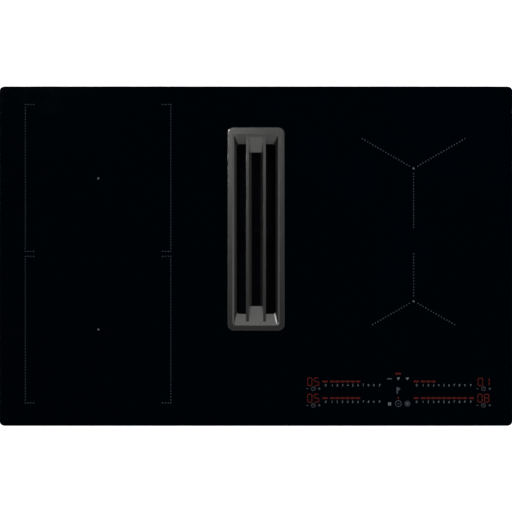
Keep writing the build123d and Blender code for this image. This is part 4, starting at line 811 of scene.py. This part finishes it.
# ------------------------------------------------------------ stage, lights
floor_me = bpy.data.meshes.new("floor")
R = 60.0
FLOOR_Z = CAD_BOX[0].z - 0.0002
floor_me.from_pydata([(-R, -R, FLOOR_Z), (R, -R, FLOOR_Z), (R, R, FLOOR_Z), (-R, R, FLOOR_Z)], [], [(0, 1, 2, 3)])
floor = bpy.data.objects.new("floor", floor_me)
bpy.context.scene.collection.objects.link(floor)
fs = Surface("floor_white")
fs.set(Specular_IOR_Level=0.1, Roughness=0.9, Emission_Color=(1.0, 1.0, 1.0), Emission_Strength=0.72)
fs.link(fs.blend(fs.noise(3.0, 3.0), (0.77, 0.77, 0.775), (0.80, 0.80, 0.805)), "Base Color")
floor_me.materials.append(fs.m)

world = bpy.data.worlds.new("studio")
bpy.context.scene.world = world
world.use_nodes = True
wt = world.node_tree
bg = wt.nodes["Background"]
wc = wt.nodes.new("ShaderNodeTexCoord")
sep = wt.nodes.new("ShaderNodeSeparateXYZ")
wt.links.new(wc.outputs["Generated"], sep.inputs[0])
ramp = wt.nodes.new("ShaderNodeValToRGB")
wt.links.new(sep.outputs["Z"], ramp.inputs[0])
ramp.color_ramp.interpolation = "EASE"
el = ramp.color_ramp.elements
el[0].position, el[0].color = 0.0, (1.0, 1.0, 1.0, 1)
el[1].position, el[1].color = 1.0, (0.0, 0.0, 0.0, 1)
for pos, v in ((0.45, 0.95), (0.80, 0.30), (0.93, 0.004)):
    e = el.new(pos)
    e.color = (v, v, v, 1)


def wmath(kind, a, b):
    n = wt.nodes.new("ShaderNodeMath")
    n.operation = kind
    for i, v in enumerate((a, b)):
        if isinstance(v, (int, float)):
            n.inputs[i].default_value = v
        else:
            wt.links.new(v, n.inputs[i])
    return n.outputs[0]


# the room is darker on the left than on the right, and a little so in front
X, Y, Z = sep.outputs["X"], sep.outputs["Y"], sep.outputs["Z"]
side = wmath("ADD", wmath("MULTIPLY", X, 0.172), 0.895)
side = wmath("ADD", side, wmath("MULTIPLY", Y, 0.065))
side = wmath("SUBTRACT", side, wmath("MULTIPLY", wmath("MULTIPLY", X, X), 0.324))
# a low soft box at the rear left
near = wmath("ADD", wmath("ADD", wmath("MULTIPLY", X, -0.525), wmath("MULTIPLY", Y, 0.806)), wmath("MULTIPLY", Z, 0.272))
soft = wt.nodes.new("ShaderNodeMapRange")
soft.interpolation_type = "SMOOTHSTEP"
soft.inputs["From Min"].default_value = math.cos(math.radians(15.0))
soft.inputs["From Max"].default_value = math.cos(math.radians(5.0))
soft.inputs["To Min"].default_value = 0.0
soft.inputs["To Max"].default_value = 6.5
wt.links.new(near, soft.inputs["Value"])
# an even pale grey backdrop all round just above the floor's far edge
low = wt.nodes.new("ShaderNodeMapRange")
low.interpolation_type = "SMOOTHSTEP"
low.inputs["From Min"].default_value = 0.12
low.inputs["From Max"].default_value = 0.06
low.inputs["To Min"].default_value = 0.0
low.inputs["To Max"].default_value = 1.0
wt.links.new(Z, low.inputs["Value"])
side = wmath("ADD", side, wmath("MULTIPLY", low.outputs["Result"], wmath("SUBTRACT", 0.40, side)))
wt.links.new(ramp.outputs[0], bg.inputs["Color"])
wt.links.new(wmath("ADD", wmath("MULTIPLY", side, 1.05), soft.outputs["Result"]), bg.inputs["Strength"])


def area(name, loc, target, size, watts, glossy=True, color=(1, 1, 1)):
    d = bpy.data.lights.new(name, "AREA")
    d.shape = "DISK" if isinstance(size, float) else "RECTANGLE"
    if isinstance(size, float):
        d.size = size
    else:
        d.size, d.size_y = size
    d.energy = watts
    d.color = color
    o = bpy.data.objects.new(name, d)
    bpy.context.scene.collection.objects.link(o)
    o.location = loc
    o.rotation_mode = "QUATERNION"
    o.rotation_quaternion = (Vector(target) - Vector(loc)).to_track_quat("-Z", "Y")
    o.visible_camera = False
    o.visible_glossy = glossy
    return o


# the left lamp gives the gloss, the softer right one the shading
area("key", (-0.43, 0.46, 1.24), (0.0, 0.05, 0.0), 0.16, 18.8).visible_diffuse = False
area("fill", (0.37, 0.34, 1.26), (0.0, 0.05, 0.0), 0.6, 18.4, glossy=False)
area("soft_top", (0.0, 0.0, 3.2), (0.0, 0.0, 0.0), (3.4, 3.4), 75.0, glossy=False)

cam = bpy.data.cameras.new("camera")
camera = bpy.data.objects.new("camera", cam)
bpy.context.scene.collection.objects.link(camera)
D = 5.0
camera.location = (0.0, 0.00015, Z_TOP + D)
cam.sensor_width = 36.0
cam.lens = 36.0 * D / (512 * PX)
cam.clip_start, cam.clip_end = 0.05, 200.0
bpy.context.scene.camera = camera
bpy.context.scene.view_settings.view_transform = "Standard"
bpy.context.scene.view_settings.look = "None"
